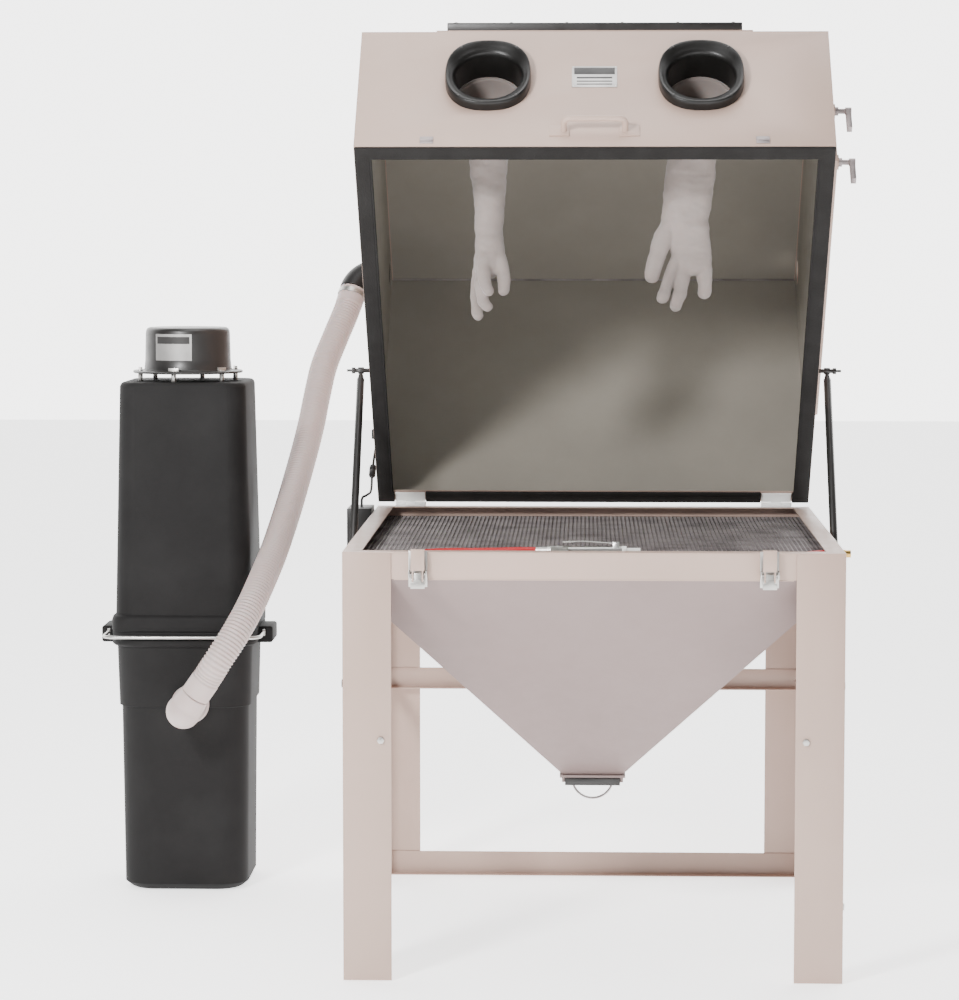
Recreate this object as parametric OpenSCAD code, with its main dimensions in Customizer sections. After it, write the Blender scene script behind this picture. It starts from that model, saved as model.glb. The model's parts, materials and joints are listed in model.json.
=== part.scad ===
// Sandblast cabinet: a legged hopper base, a lifting hood with arm ports and a window,
// and a dust collector of two stacked bins joined to the hood by a ribbed hose.
// The model stands as it is used, with the hood propped open on its gas springs.

/* [Cabinet] */
// Outer width of the base and the hood
cab_w = 1067; // [960:1:1200]
// Outer depth of the base and the hood
cab_d = 1180; // [1100:1:1240]
// Height of the base's rim above the floor
rim_h = 923; // [880:1:980]
// Thickness of the sheet steel
sheet = 2.5; // [1.5:0.5:3]
// Angle that the hood is open, from shut
open_angle = 46.3; // [30:0.1:60]

/* [Base] */
// Height of the plain band between the rim and the hopper
band_h = 58; // [45:1:70]
// Width of the flange that turns in round the rim
rim_flange = 40; // [30:1:45]
// Width of each face of an angle leg
leg_w = 104; // [80:1:110]
// Height of the hopper's outlet above the floor
outlet_h = 360; // [330:1:420]
// Width of the hopper's square outlet
outlet_w = 135; // [110:1:150]
// Distance from the rim down to the top of the grate
grate_drop = 25; // [22:1:30]

/* [Hood] */
// Height of the hood's rear wall
hood_h = 780; // [700:1:800]
// Height of the hood's upright front face
face_h = 388; // [360:1:400]
// Depth of the hood's flat top
top_d = 787; // [760:1:800]
// Width of the foam seal round the hood's rim
seal_w = 34; // [28:1:36]
// Distance of each arm port from the middle
port_x = 240; // [220:1:260]
// Height of the arm ports above the hinge line
port_z = 230; // [210:1:240]
// Width and slope length of the window frame
window_w = 680; // [600:1:700]
// Slope length of the window frame
window_l = 440; // [380:1:450]

/* [Springs] */
// Distance of the gas springs from the side walls
spring_gap = 26.5; // [25:0.5:32]
// Radius of the gas springs' barrels
barrel_r = 9; // [8:0.5:10]
// Length of the gas springs' barrels
barrel_l = 460; // [430:1:470]

/* [Dust collector] */
// Distance from the middle of the cabinet to the middle of the bins
bin_x = -993; // [-1100:1:-950]
// Height of each bin's open end above the floor
bin_h = 637; // [600:1:660]
// Height of the top of the upper bin
stack_h = 1238; // [1220:1:1260]
// Outer width of the bins' rims
bin_rim_w = 352; // [346:1:356]
// Outer diameter of the ribbed hose
hose_d = 70; // [60:1:72]

/* [Hidden] */
$fn = 64;

paint = [0.80, 0.75, 0.72];
paint_shade = [0.70, 0.64, 0.64];
zinc = [0.75, 0.76, 0.76];
black_rubber = [0.12, 0.11, 0.11];
bin_grey = [0.24, 0.23, 0.23];
eps = 0.01;

// The origin is on the floor, in the middle of the whole machine's outline.
cab_x = 305;
cab_y = -275;
half_w = cab_w / 2;
half_d = cab_d / 2;
band_z = rim_h - band_h;
grate_z = rim_h - grate_drop;

// The hood turns about an axis just behind the base's rear face.
hinge_back = 8;
hinge_up = 4;
hinge_y = half_d + hinge_back;
hinge_z = rim_h + hinge_up;
hood_rear = -hinge_back;
hood_front = -hinge_back - cab_d;
hood_rim = 4;
hood_top = hood_rim + hood_h;
face_top = hood_rim + face_h;
slope_y = hood_rear - top_d;
slope_mid = [(slope_y + hood_front) / 2, (hood_top + face_top) / 2];
slope_angle = atan2(hood_top - face_top, slope_y - hood_front);

// Gas springs: each runs from a bracket on a side rail to a boss on the hood.
spring_x = half_w + spring_gap;
boss = [-398, 76];
spring_foot = [-110, 575];
spring_head = [
    hinge_y + boss[0] * cos(open_angle) + boss[1] * sin(open_angle),
    hinge_z - boss[0] * sin(open_angle) + boss[1] * cos(open_angle)
];
spring_reach = spring_head - spring_foot;
spring_l = norm(spring_reach);
spring_tilt = atan2(spring_reach[0], spring_reach[1]);
running = 0.05;

// Front draw latches.
latch_x = 372;
latch_y = -half_d - 13;
latch_z = rim_h - 46;

// Side door in the right wall.
door_rear = -211;
door_front = -1048;
door_low = 108;
door_high = 382;
door_pin = [half_w + 10.5, -203];
handle_y = -1022;
handle_upper_z = 305;
handle_lower_z = 132;

// Dust collector.
bin_y = 494;
vent = [-83, 734];
elbow_turn = 76;
hose_r = hose_d / 2;

// The blast gun lies on the grate.
gun = [0, -410, 909];
gun_pivot = [49, 15.5];    // lever pin: distance along the gun, and height over its centre line

// Frame of the cabinet, of the hood in its open place, and of the bins.
module at_base() translate([cab_x, cab_y, 0]) children();
module at_hood() at_base() translate([0, hinge_y, hinge_z]) rotate([-open_angle, 0, 0]) children();
module at_bin() at_base() translate([bin_x, bin_y, 0]) children();
module at_window() translate([0, slope_mid[0], slope_mid[1]]) rotate([slope_angle, 0, 0]) children();
module at_spring(side)
    at_base() translate([side * spring_x, spring_foot[0], spring_foot[1]])
        rotate([-spring_tilt, 0, 0]) children();

module box(low, high) translate(low) cube(high - low);
module along_x(x0, x1, r) translate([x0, 0, 0]) rotate([0, 90, 0]) cylinder(r = r, h = x1 - x0);
module along_y(y0, y1, r) translate([0, y1, 0]) rotate([90, 0, 0]) cylinder(r = r, h = y1 - y0);
module profile_x(width) rotate([90, 0, 90]) linear_extrude(height = width, center = true) children();

// Square frame: an outer block less its inside.
module ring_block(w, d, wall, z0, z1) {
    difference() {
        box([-w / 2, -d / 2, z0], [w / 2, d / 2, z1]);
        box([-w / 2 + wall, -d / 2 + wall, z0 - 1], [w / 2 - wall, d / 2 - wall, z1 + 1]);
    }
}

// Rounded square outline.
module round_square(w, r) {
    square([w, w - 2 * r], center = true);
    square([w - 2 * r, w], center = true);
    for (x = [-1, 1], y = [-1, 1]) translate([x * (w / 2 - r), y * (w / 2 - r)]) circle(r = r);
}

// Solid between two rounded squares at different heights.
module bin_taper(w0, z0, w1, z1, r) {
    hull() {
        translate([0, 0, z0]) linear_extrude(height = eps) round_square(w0, r, $fn = 32);
        translate([0, 0, z1 - eps]) linear_extrude(height = eps) round_square(w1, r, $fn = 32);
    }
}

// Four-sided funnel block.
module funnel(w0, d0, z0, w1, d1, z1) {
    intersection() {
        rotate([90, 0, 0]) linear_extrude(height = 2 * cab_d, center = true)
            polygon([[-w0 / 2, z0], [w0 / 2, z0], [w1 / 2, z1], [-w1 / 2, z1]]);
        rotate([90, 0, 90]) linear_extrude(height = 2 * cab_w, center = true)
            polygon([[-d0 / 2, z0], [d0 / 2, z0], [d1 / 2, z1], [-d1 / 2, z1]]);
    }
}

// Tube swept along points, closed at both ends.
function unit(v) = v / norm(v);
function heading(p, i) = unit(p[min(i + 1, len(p) - 1)] - p[max(i - 1, 0)]);
function tube_ring(p, i, r, sides, aside) =
    let (t = heading(p, i), side = unit(cross(t, aside)), up = cross(side, t))
    [for (k = [0 : sides - 1]) let (a = 360 * k / sides) p[i] + r * (cos(a) * side + sin(a) * up)];
module swept_tube(p, r, sides, aside) {
    n = len(p);
    polyhedron(
        points = [for (i = [0 : n - 1]) each tube_ring(p, i, r, sides, aside)],
        faces = concat(
            [[for (k = [0 : sides - 1]) k]],
            [for (i = [0 : n - 2], k = [0 : sides - 1])
                [i * sides + k, (i + 1) * sides + k,
                 (i + 1) * sides + (k + 1) % sides, i * sides + (k + 1) % sides]],
            [[for (k = [sides - 1 : -1 : 0]) (n - 1) * sides + k]]
        )
    );
}

// ---------- Base ----------

module base_tub() {
    color(paint) at_base() {
        difference() {
            union() {
                ring_block(cab_w, cab_d, rim_flange, rim_h - sheet, rim_h);
                ring_block(cab_w - 2 * sheet, cab_d - 2 * sheet, sheet, band_z, rim_h - sheet);
            }
            translate([0, air_y, air_z]) along_x(half_w - 3 * sheet, half_w, air_r);
        }
    }
}

module hopper() {
    wall = 1.4 * sheet;
    top_w = cab_w - 2 * sheet;
    top_l = cab_d - 2 * sheet;
    color(paint_shade) at_base() difference() {
        funnel(outlet_w, outlet_w, outlet_h, top_w, top_l, band_z);
        funnel(outlet_w - 2 * wall, outlet_w - 2 * wall, outlet_h - eps,
               top_w - 2 * wall, top_l - 2 * wall, band_z + eps);
    }
}

// Angle leg with its corner outwards. Its top end is under the rim's flange.
module leg(side, end) {
    color(paint) at_base() mirror([side < 0 ? 1 : 0, 0, 0]) mirror([0, end < 0 ? 1 : 0, 0]) {
        box([half_w - leg_w, half_d - sheet, 0], [half_w, half_d, rim_h - sheet]);
        box([half_w - sheet, half_d - leg_w, 0], [half_w, half_d, rim_h - sheet]);
    }
}
module leg_front_left() leg(-1, -1);
module leg_front_right() leg(1, -1);
module leg_rear_left() leg(-1, 1);
module leg_rear_right() leg(1, 1);

// Angle bar that runs along X, with its upright face at the back.
module rear_rail(z0, z1) {
    y1 = half_d - sheet;
    box([-half_w + sheet, y1 - sheet, z0], [half_w - sheet, y1, z1]);
    box([-half_w + 2 * sheet, y1 - 32, z0], [half_w - 2 * sheet, y1 - sheet + eps, z0 + sheet]);
}
module side_rail(side, z0, z1) {
    x1 = half_w - sheet;
    y1 = half_d - sheet;
    mirror([side < 0 ? 1 : 0, 0, 0]) {
        box([x1 - sheet, -y1, z0], [x1, y1 - sheet, z1]);
        box([x1 - 32, -y1, z0], [x1 - sheet + eps, y1 - 34, z0 + sheet]);
    }
}
module frame_rails() {
    color(paint) at_base() {
        rear_rail(469, 518);
        rear_rail(0, 55);
        for (side = [-1, 1]) side_rail(side, 495, 545);
    }
}

module frame_bolts() {
    head_r = 8;
    head_h = 5;
    color(zinc) at_base() {
        for (x = [-452, 452]) translate([x, 0, 520]) {
            along_y(-half_d - head_h, -half_d, head_r, $fn = 6);
            for (z = [-27, -492]) translate([0, 0, z]) along_y(half_d, half_d + head_h, head_r, $fn = 6);
        }
        translate([0, -half_d + 34, 160]) along_x(half_w, half_w + head_h, head_r, $fn = 6);
    }
}

module grate() {
    w = cab_w - 4 * sheet - 3;
    d = cab_d - 4 * sheet - 3;
    edge = 18;
    bar = 4;
    inner_w = w - 2 * edge;
    inner_d = d - 2 * edge;
    across = 12;
    along = 13;
    color([0.35, 0.33, 0.33]) at_base() {
        ring_block(w, d, edge, grate_z - 2 * bar, grate_z);
        for (i = [1 : across - 1]) let (x = -inner_w / 2 + inner_w * i / across)
            box([x - bar / 2, -inner_d / 2, grate_z - bar], [x + bar / 2, inner_d / 2, grate_z]);
        for (i = [1 : along - 1]) let (y = -inner_d / 2 + inner_d * i / along)
            box([-inner_w / 2, y - bar / 2, grate_z - 2 * bar], [inner_w / 2, y + bar / 2, grate_z - bar]);
    }
}

module grate_ledges() {
    w = cab_w - 4 * sheet;
    d = cab_d - 4 * sheet;
    top = grate_z - 8;
    color(paint_shade) at_base() {
        ring_block(w, d, 25, top - sheet, top);
        ring_block(w, d, sheet, top - 14, top - sheet);
    }
}

// ---------- Hinges between base and hood ----------

hinge_x = 453;
hinge_w = 73;
knuckle_r = 6;
knuckle_mid = 12.5;
pin_r = 3;
leaf_t = 2;
leaf_in = -38;
leaf_out = -7;

module hinge_base_leaf() {
    difference() {
        union() {
            box([-hinge_w / 2, leaf_in, -hinge_up], [hinge_w / 2, leaf_out, -hinge_up + leaf_t]);
            for (s = [-1, 1]) mirror([s < 0 ? 1 : 0, 0, 0]) {
                along_x(knuckle_mid + 0.5, hinge_w / 2, knuckle_r);
                box([knuckle_mid + 0.5, leaf_out - eps, -hinge_up], [hinge_w / 2, 0, -hinge_up + leaf_t]);
            }
        }
        along_x(-hinge_w, hinge_w, pin_r);
    }
}
module hinge_base_leaves() {
    color("white") at_base() for (x = [-hinge_x, hinge_x])
        translate([x, hinge_y, hinge_z]) hinge_base_leaf();
}
module hinge_pins() {
    color(zinc) at_base() for (x = [-hinge_x, hinge_x])
        translate([x, hinge_y, hinge_z]) {
            along_x(-hinge_w / 2, hinge_w / 2, pin_r);
            along_x(hinge_w / 2, hinge_w / 2 + 2, pin_r + 1.5);
        }
}
module hinge_hood_leaves() {
    color("white") at_hood() for (x = [-hinge_x, hinge_x]) translate([x, 0, 0]) difference() {
        union() {
            box([-hinge_w / 2, leaf_in, hood_rim - leaf_t], [hinge_w / 2, leaf_out, hood_rim]);
            along_x(-knuckle_mid, knuckle_mid, knuckle_r);
            box([-knuckle_mid, leaf_out - eps, hood_rim - leaf_t], [knuckle_mid, 0, hood_rim]);
        }
        along_x(-hinge_w, hinge_w, pin_r + running);
    }
}

// ---------- Front draw latches ----------

latch_w = 29;
latch_pin_r = 2.5;
claw_pin = [-3, -12];

module latch_bases() {
    color(zinc) at_base() for (side = [-1, 1]) translate([side * latch_x, 0, 0]) difference() {
        union() {
            box([-20, -half_d - 2.5, rim_h - 74], [20, -half_d, rim_h + 3]);
            box([-20, -half_d - eps, rim_h - 70], [20, -half_d + sheet, rim_h - 6]);
            for (s = [-1, 1]) mirror([s < 0 ? 1 : 0, 0, 0])
                box([17, latch_y - 6, latch_z - 8], [20, -half_d - 2.5 + eps, latch_z + 8]);
            translate([0, latch_y, latch_z]) along_x(-17, 17, latch_pin_r);
        }
        box([-21, -half_d, rim_h - sheet], [21, -half_d + 2 * sheet, rim_h + 10]);
    }
}
module latch_lever(side) {
    color(zinc) at_base() translate([side * latch_x, latch_y, latch_z]) difference() {
        union() {
            along_x(-8, 8, 4.5);
            box([-8, -5, -13], [8, 2, 0]);
            box([-8, -7, -20], [8, -4, -10]);
            box([-15, -7, -30], [15, -5, -18]);
            translate([0, claw_pin[0], claw_pin[1]]) along_x(-13, 13, 2);
        }
        along_x(-20, 20, latch_pin_r + running);
    }
}
module latch_lever_left() latch_lever(-1);
module latch_lever_right() latch_lever(1);

// Claw: two side arms on the lever's cross pin, joined above by the hook plate.
module latch_claw(side) {
    color(paint) at_base() translate([side * latch_x, latch_y, latch_z]) difference() {
        union() {
            for (s = [-1, 1]) mirror([s < 0 ? 1 : 0, 0, 0]) {
                box([9, claw_pin[0] - 4, claw_pin[1] - 3], [12, claw_pin[0] - 0.5, 10]);
                translate([0, claw_pin[0], claw_pin[1]]) along_x(9, 12, 3.5);
            }
            box([-latch_w / 2, -7, 8], [latch_w / 2, -5, 53]);
            box([-latch_w / 2, -5 - eps, 50], [latch_w / 2, 9, 53]);
        }
        translate([0, claw_pin[0], claw_pin[1]]) along_x(-20, 20, 2 + running);
    }
}
module latch_claw_left() latch_claw(-1);
module latch_claw_right() latch_claw(1);

// ---------- Gas springs ----------

stud_r = 5;
rod_r = 5;
barrel_bore = 7;
barrel_foot = spring_l - 25 - barrel_l;
piston_top = barrel_foot + 42;

module spring_brackets() {
    color([0.25, 0.24, 0.24]) at_base() for (side = [-1, 1]) mirror([side < 0 ? 1 : 0, 0, 0])
        translate([0, spring_foot[0], spring_foot[1]]) {
            box([half_w - sheet, -40, -74], [half_w + sheet, 40, 22]);
            along_x(half_w + sheet, spring_x + 12, stud_r);
            along_x(half_w + sheet, half_w + sheet + 8, stud_r + 4);
            along_x(spring_x + 8, spring_x + 12, stud_r + 4);
        }
}
module spring_rod(side) {
    color(zinc) at_spring(side) difference() {
        union() {
            along_x(-6, 6, 11);
            cylinder(r = rod_r, h = piston_top);
            translate([0, 0, piston_top - 15]) cylinder(r = barrel_bore - 0.1, h = 15);
        }
        along_x(-20, 20, stud_r + running);
    }
}
module spring_rod_left() spring_rod(-1);
module spring_rod_right() spring_rod(1);

module spring_tube(side) {
    color(black_rubber) at_spring(side) {
        difference() {
            union() {
                translate([0, 0, barrel_foot]) cylinder(r = barrel_r, h = barrel_l);
                translate([0, 0, barrel_foot + barrel_l - eps]) cylinder(r1 = barrel_r - 1, r2 = 4, h = 18);
                translate([0, 0, spring_l]) along_x(-7, 7, 8);
            }
            translate([0, 0, barrel_foot + 25]) cylinder(r = barrel_bore, h = barrel_l - 33);
            translate([0, 0, barrel_foot - 1]) cylinder(r = rod_r + running, h = 40);
        }
        translate([0, 0, spring_l]) mirror([side < 0 ? 1 : 0, 0, 0]) {
            along_x(-spring_gap + 2.5, -7, stud_r);
            along_x(7, 14, stud_r);
            along_x(14, 22, 7.5);
            along_x(22, 34, 3);
        }
    }
}
module spring_tube_left() spring_tube(-1);
module spring_tube_right() spring_tube(1);

// ---------- Hopper outlet ----------

slide_w = 126;
bail_r = 47;
bail_wire = 2.5;
bail_z = outlet_h - 18;

module cleanout_collar() {
    color(paint_shade) at_base() {
        ring_block(150, 150, 15, outlet_h - 6, outlet_h);
        for (side = [-1, 1]) mirror([side < 0 ? 1 : 0, 0, 0]) {
            box([64, -75, outlet_h - 16], [70, 75, outlet_h - 6]);
            box([57, -75, outlet_h - 16], [64 + eps, 75, outlet_h - 13]);
        }
        box([-64 - eps, 72, outlet_h - 16], [64 + eps, 75, outlet_h - 6 + eps]);
    }
}
module cleanout_slide() {
    top = outlet_h - 7;
    low = outlet_h - 12.5;
    color([0.25, 0.23, 0.22]) at_base() difference() {
        union() {
            box([-slide_w / 2, -76, low], [slide_w / 2, 70, top]);
            box([-slide_w / 2, -79, low - 10], [slide_w / 2, -76 + eps, top]);
            for (s = [-1, 1]) mirror([s < 0 ? 1 : 0, 0, 0])
                box([37, -5, bail_z - 5], [42, 5, low + eps]);
        }
        translate([0, 0, bail_z]) along_x(-44, 44, 2 + running);
    }
}
module cleanout_bail() {
    color(zinc) at_base() translate([0, 0, bail_z]) {
        rotate([-90, 0, 0]) rotate_extrude(angle = 180) translate([bail_r, 0]) circle(r = bail_wire);
        for (s = [-1, 1]) mirror([s < 0 ? 1 : 0, 0, 0]) {
            translate([bail_r, 0, 0]) sphere(r = bail_wire);
            along_x(37, bail_r, 2);
        }
    }
}

// ---------- Air line and blast gun ----------

air_y = -455;
air_z = 909;
air_r = 8;
air_hose_r = 8;
thread_r = 5.7;

module air_fitting() {
    color([0.72, 0.6, 0.3]) at_base() translate([0, air_y, air_z]) difference() {
        union() {
            along_x(512, half_w + 20, air_r);
            along_x(half_w - 2 * sheet - 9, half_w - 2 * sheet, 9, $fn = 6);
            along_x(half_w - sheet, half_w + 8, 9, $fn = 6);
        }
        along_x(half_w + 6, half_w + 21, thread_r);
    }
}

module gun_body() {
    color(zinc) at_base() translate(gun) {
        difference() {
            union() {
                along_x(-100, 62, 11);
                along_x(-125, -100, 9);
                hull() for (y = [-14, -88], x = [-84, -62])
                    translate([x, y, -9]) cylinder(r = 8, h = 18, $fn = 24);
                for (y = [-9, 6]) box([42, y, 4], [56, y + 3, gun_pivot[1] + 4]);
            }
            translate([gun_pivot[0], 0, gun_pivot[1]]) along_y(-12, 12, 2);
            along_x(40, 63, 5);
        }
        translate([gun_pivot[0], 0, gun_pivot[1]]) along_y(-9, 9, 2);
    }
}
module gun_trigger() {
    color(zinc) at_base() translate(gun) difference() {
        union() {
            translate([gun_pivot[0], 0, gun_pivot[1]]) along_y(-5.5, 5.5, 4);
            hull() {
                translate([gun_pivot[0] - 3, 0, gun_pivot[1] + 1]) along_y(-5.5, 5.5, 1.6, $fn = 16);
                translate([-20, 0, 21]) along_y(-5.5, 5.5, 1.4, $fn = 16);
            }
            hull() {
                translate([-20, 0, 21]) along_y(-5.5, 5.5, 1.4, $fn = 16);
                translate([-66, 0, 19.5]) along_y(-5.5, 5.5, 1.4, $fn = 16);
            }
        }
        translate([gun_pivot[0], 0, gun_pivot[1]]) along_y(-12, 12, 2 + running);
    }
}
module gun_nozzle() {
    color("whitesmoke") at_base() translate(gun) difference() {
        union() {
            along_x(62, 72, 11);
            along_x(72, 102, 7);
        }
        along_x(61, 103, 3);
    }
}

gun_hose_route = [
    [-125, -410, 909], [-165, -410, 909], [-210, -407, 907.5], [-260, -405, 906.5], [-305, -408, 906.5],
    [-345, -420, 906.5], [-372, -445, 906.5], [-382, -478, 906.5], [-370, -512, 906.5],
    [-338, -534, 906.5], [-295, -543, 906.5], [-230, -545, 906.5], [-150, -545, 906.5],
    [-50, -545, 906.5], [50, -545, 906.5], [150, -545, 906.5], [250, -543, 906.5],
    [330, -536, 906.5], [395, -518, 906.5], [436, -494, 907], [466, -468, 908], [490, -455, 909],
    [512, -455, 909]
];
module gun_hose() color([0.6, 0.12, 0.12]) at_base() swept_tube(gun_hose_route, air_hose_r, 10, [0, 0, 1]);

// ---------- Hood ----------

module hood_outline(inset) {
    bend = inset * 0.42;
    polygon([
        [hood_rear - inset, hood_rim - (inset > 0 ? 1 : 0)], [hood_rear - inset, hood_top - inset],
        [slope_y + bend, hood_top - inset], [hood_front + inset, face_top - bend],
        [hood_front + inset, hood_rim - (inset > 0 ? 1 : 0)]
    ]);
}
module port_shape() intersection() {
    circle(r = 116);
    square([194, 240], center = true);
}
module hood_shell() {
    curb_w = window_w + 47;
    curb_l = window_l + 47;
    mid_y = (hood_rear + hood_front) / 2;
    color(paint) at_hood() difference() {
        union() {
            difference() {
                profile_x(cab_w) hood_outline(0);
                profile_x(cab_w - 4) hood_outline(2);
            }
            translate([0, mid_y, 0]) ring_block(cab_w, cab_d, 38, hood_rim, hood_rim + 2);
            at_window() box([-curb_w / 2, -curb_l / 2, -1], [curb_w / 2, curb_l / 2, 6]);
        }
        at_window() box([-window_w / 2 + 30, -window_l / 2 + 20, -10],
                        [window_w / 2 - 30, window_l / 2 - 20, 10]);
        for (x = [-port_x, port_x]) translate([x, 0, port_z]) along_y(hood_front - 5, hood_front + 5, 84);
        translate([0, vent[0], vent[1]]) along_x(-half_w - 5, half_w + 5, 32);
        box([half_w - 5, door_front + 22, door_low + 22], [half_w + 5, door_rear - 22, door_high - 22]);
    }
}

module hood_gasket() {
    mid_y = (hood_rear + hood_front) / 2;
    color(black_rubber) at_hood() difference() {
        translate([0, mid_y, 0]) ring_block(cab_w - 2, cab_d - 2, seal_w, -3.5, hood_rim);
        for (x = [-hinge_x, hinge_x])
            box([x - hinge_w / 2 - 2, hood_rear - seal_w - 3, -5], [x + hinge_w / 2 + 2, hood_rear + 3, 5]);
    }
}

module window_frame() {
    color(black_rubber) at_hood() at_window() difference() {
        box([-window_w / 2, -window_l / 2, 6], [window_w / 2, window_l / 2, 26]);
        box([-window_w / 2 + 40, -window_l / 2 + 40, 5], [window_w / 2 - 40, window_l / 2 - 40, 27]);
        box([-window_w / 2 + 28, -window_l / 2 + 28, 5], [window_w / 2 - 28, window_l / 2 - 28, 11]);
    }
}
module window_glass() {
    color([0.7, 0.8, 0.8, 0.4]) at_hood() at_window()
        box([-window_w / 2 + 28, -window_l / 2 + 28, 6], [window_w / 2 - 28, window_l / 2 - 28, 11]);
}

module arm_ring(side) {
    color(black_rubber) at_hood() translate([side * port_x, hood_front, port_z]) difference() {
        union() {
            rotate([90, 0, 0]) linear_extrude(height = 24) port_shape();
            along_y(-eps, 72, 84);
        }
        along_y(-30, 80, 76);
    }
}
module arm_ring_left() arm_ring(-1);
module arm_ring_right() arm_ring(1);

// Glove and sleeve, hanging straight down from the port's collar.
module glove(side) {
    mouth = [
        hinge_y + (hood_front + 72) * cos(open_angle) + port_z * sin(open_angle),
        hinge_z - (hood_front + 72) * sin(open_angle) + port_z * cos(open_angle)
    ];
    hand_x = side < 0 ? -240 : 212;
    color("gainsboro") at_base() {
        hull() {
            at_mouth(side, mouth) cylinder(r = 83, h = 4, $fn = 32);
            translate([side * port_x, mouth[0] + 22, mouth[1] - 95]) sphere(r = 66, $fn = 24);
        }
        hull() {
            translate([side * port_x, mouth[0] + 22, mouth[1] - 95]) sphere(r = 66, $fn = 24);
            translate([hand_x, mouth[0] + 26, mouth[1] - 300]) sphere(r = 42, $fn = 24);
        }
        hull() {
            translate([hand_x, mouth[0] + 26, mouth[1] - 300]) sphere(r = 42, $fn = 24);
            for (x = [-36, 36])
                translate([hand_x + x * (side < 0 ? 0.5 : 1), mouth[0] + 26, mouth[1] - 372])
                    sphere(r = 30, $fn = 24);
            translate([hand_x, mouth[0] + 26, mouth[1] - 474]) sphere(r = 26, $fn = 24);
        }
    }
}
module at_mouth(side, mouth)
    translate([side * port_x, mouth[0], mouth[1]]) rotate([-90 - open_angle, 0, 0]) children();
module glove_left() glove(-1);
module glove_right() glove(1);

module pull_handle() {
    grip = 54;
    bend = 14;
    reach = 38;
    z = 53;
    color(paint) at_hood() translate([0, hood_front, z]) {
        translate([0, -reach, 0]) along_x(-grip, grip, 7);
        for (s = [-1, 1]) mirror([s < 0 ? 1 : 0, 0, 0]) {
            translate([grip, -reach + bend, 0]) rotate([0, 0, -90])
                rotate_extrude(angle = 90) translate([bend, 0]) circle(r = 7);
            translate([grip + bend, 0, 0]) along_y(-reach + bend, -2, 7);
            box([grip + bend - 12, -3, -17], [100, 0, 17]);
        }
    }
}

module exhaust_elbow() {
    lead = 25;
    bend = 70;
    slant = atan2(0.852, 0.524);
    exit_y = hinge_y + vent[0] * cos(open_angle) + vent[1] * sin(open_angle);
    exit_z = hinge_z - vent[0] * sin(open_angle) + vent[1] * cos(open_angle);
    color(black_rubber) at_base() translate([-half_w, exit_y, exit_z]) {
        difference() {
            union() {
                along_x(-4, 0, 52);
                along_x(-lead, 0, 38);
            }
            along_x(-lead + 4, 1, 31.5);
        }
        translate([-lead, -bend * 0.524, -bend * 0.852]) rotate([slant, 0, 0]) rotate([0, 0, 90])
            rotate_extrude(angle = elbow_turn) translate([bend, 0]) circle(r = 36);
    }
}

module inlet_vent() {
    color(paint) at_hood() translate([half_w, vent[0], vent[1]]) difference() {
        union() {
            along_x(0, 2, 48);
            along_x(0, 22, 35);
        }
        along_x(-1, 23, 32);
    }
}

module lamp() {
    low = hood_top - 47;
    color("whitesmoke") at_hood() {
        box([-250, -610, low], [250, -520, hood_top - 2]);
        box([-240, -602, low - 10], [240, -528, low]);
    }
}

module hood_brackets() {
    color(zinc) at_hood() {
        for (x = [-latch_x, latch_x]) {
            box([x - 15, hood_front - 2, 12], [x + 15, hood_front, 34]);
            box([x - 15, hood_front - 6, 20], [x + 15, hood_front - 2 + eps, 23]);
        }
        for (s = [-1, 1]) mirror([s < 0 ? 1 : 0, 0, 0])
            translate([0, boss[0], boss[1]]) along_x(half_w, half_w + 2, 15);
    }
}

gland = [-68, 156];
module cable_gland() {
    foot_y = hinge_y + gland[0] * cos(open_angle) + gland[1] * sin(open_angle);
    foot_z = hinge_z - gland[0] * sin(open_angle) + gland[1] * cos(open_angle);
    color(black_rubber) at_base() translate([-half_w, foot_y, foot_z])
        box([-20, -10, 0], [0, 10, 24]);
}

// ---------- Side door ----------

door_t = 15;
door_steps = 8;

module door_knuckles(first) {
    span = (door_high - door_low - 20) / door_steps;
    for (i = [first : 2 : door_steps - 1])
        translate([door_pin[0], door_pin[1], door_low + 10 + i * span + 0.25])
            cylinder(r = 5, h = span - 0.5);
}
module side_door() {
    span = (door_high - door_low - 20) / door_steps;
    x0 = half_w + 0.8;
    x1 = half_w + 0.8 + door_t;
    color(paint) at_hood() difference() {
        union() {
            difference() {
                box([x0, door_front, door_low], [x1, door_rear, door_high]);
                box([x0 - 1, door_front + 2, door_low + 2], [x1 - 2, door_rear - 2, door_high - 2]);
            }
            door_knuckles(0);
            for (i = [0 : 2 : door_steps - 1])
                box([door_pin[0] - 1, door_rear - eps, door_low + 10 + i * span + 0.25],
                    [x1, door_pin[1], door_low + 10 + (i + 1) * span - 0.25]);
            for (z = [handle_upper_z, handle_lower_z])
                translate([0, handle_y, z]) along_x(x1 - 2, x1 + 4, 17);
        }
        translate([door_pin[0], door_pin[1], door_low]) cylinder(r = 2 + running, h = door_high - door_low);
        for (z = [handle_upper_z, handle_lower_z])
            translate([0, handle_y, z]) along_x(x0, x1 + 5, 6 + running);
    }
}
module door_hinge() {
    span = (door_high - door_low - 20) / door_steps;
    color(zinc) at_hood() {
        difference() {
            union() {
                box([half_w, door_pin[1], door_low + 10], [half_w + 1.2, door_pin[1] + 24, door_high - 10]);
                door_knuckles(1);
                for (i = [1 : 2 : door_steps - 1])
                    box([half_w, door_pin[1], door_low + 10 + i * span + 0.25],
                        [door_pin[0], door_pin[1] + 4.5, door_low + 10 + (i + 1) * span - 0.25]);
            }
            translate([door_pin[0], door_pin[1], door_low]) cylinder(r = 2, h = door_high - door_low);
        }
        translate([door_pin[0], door_pin[1], door_low + 10]) cylinder(r = 2, h = door_high - door_low - 20);
    }
}

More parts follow.
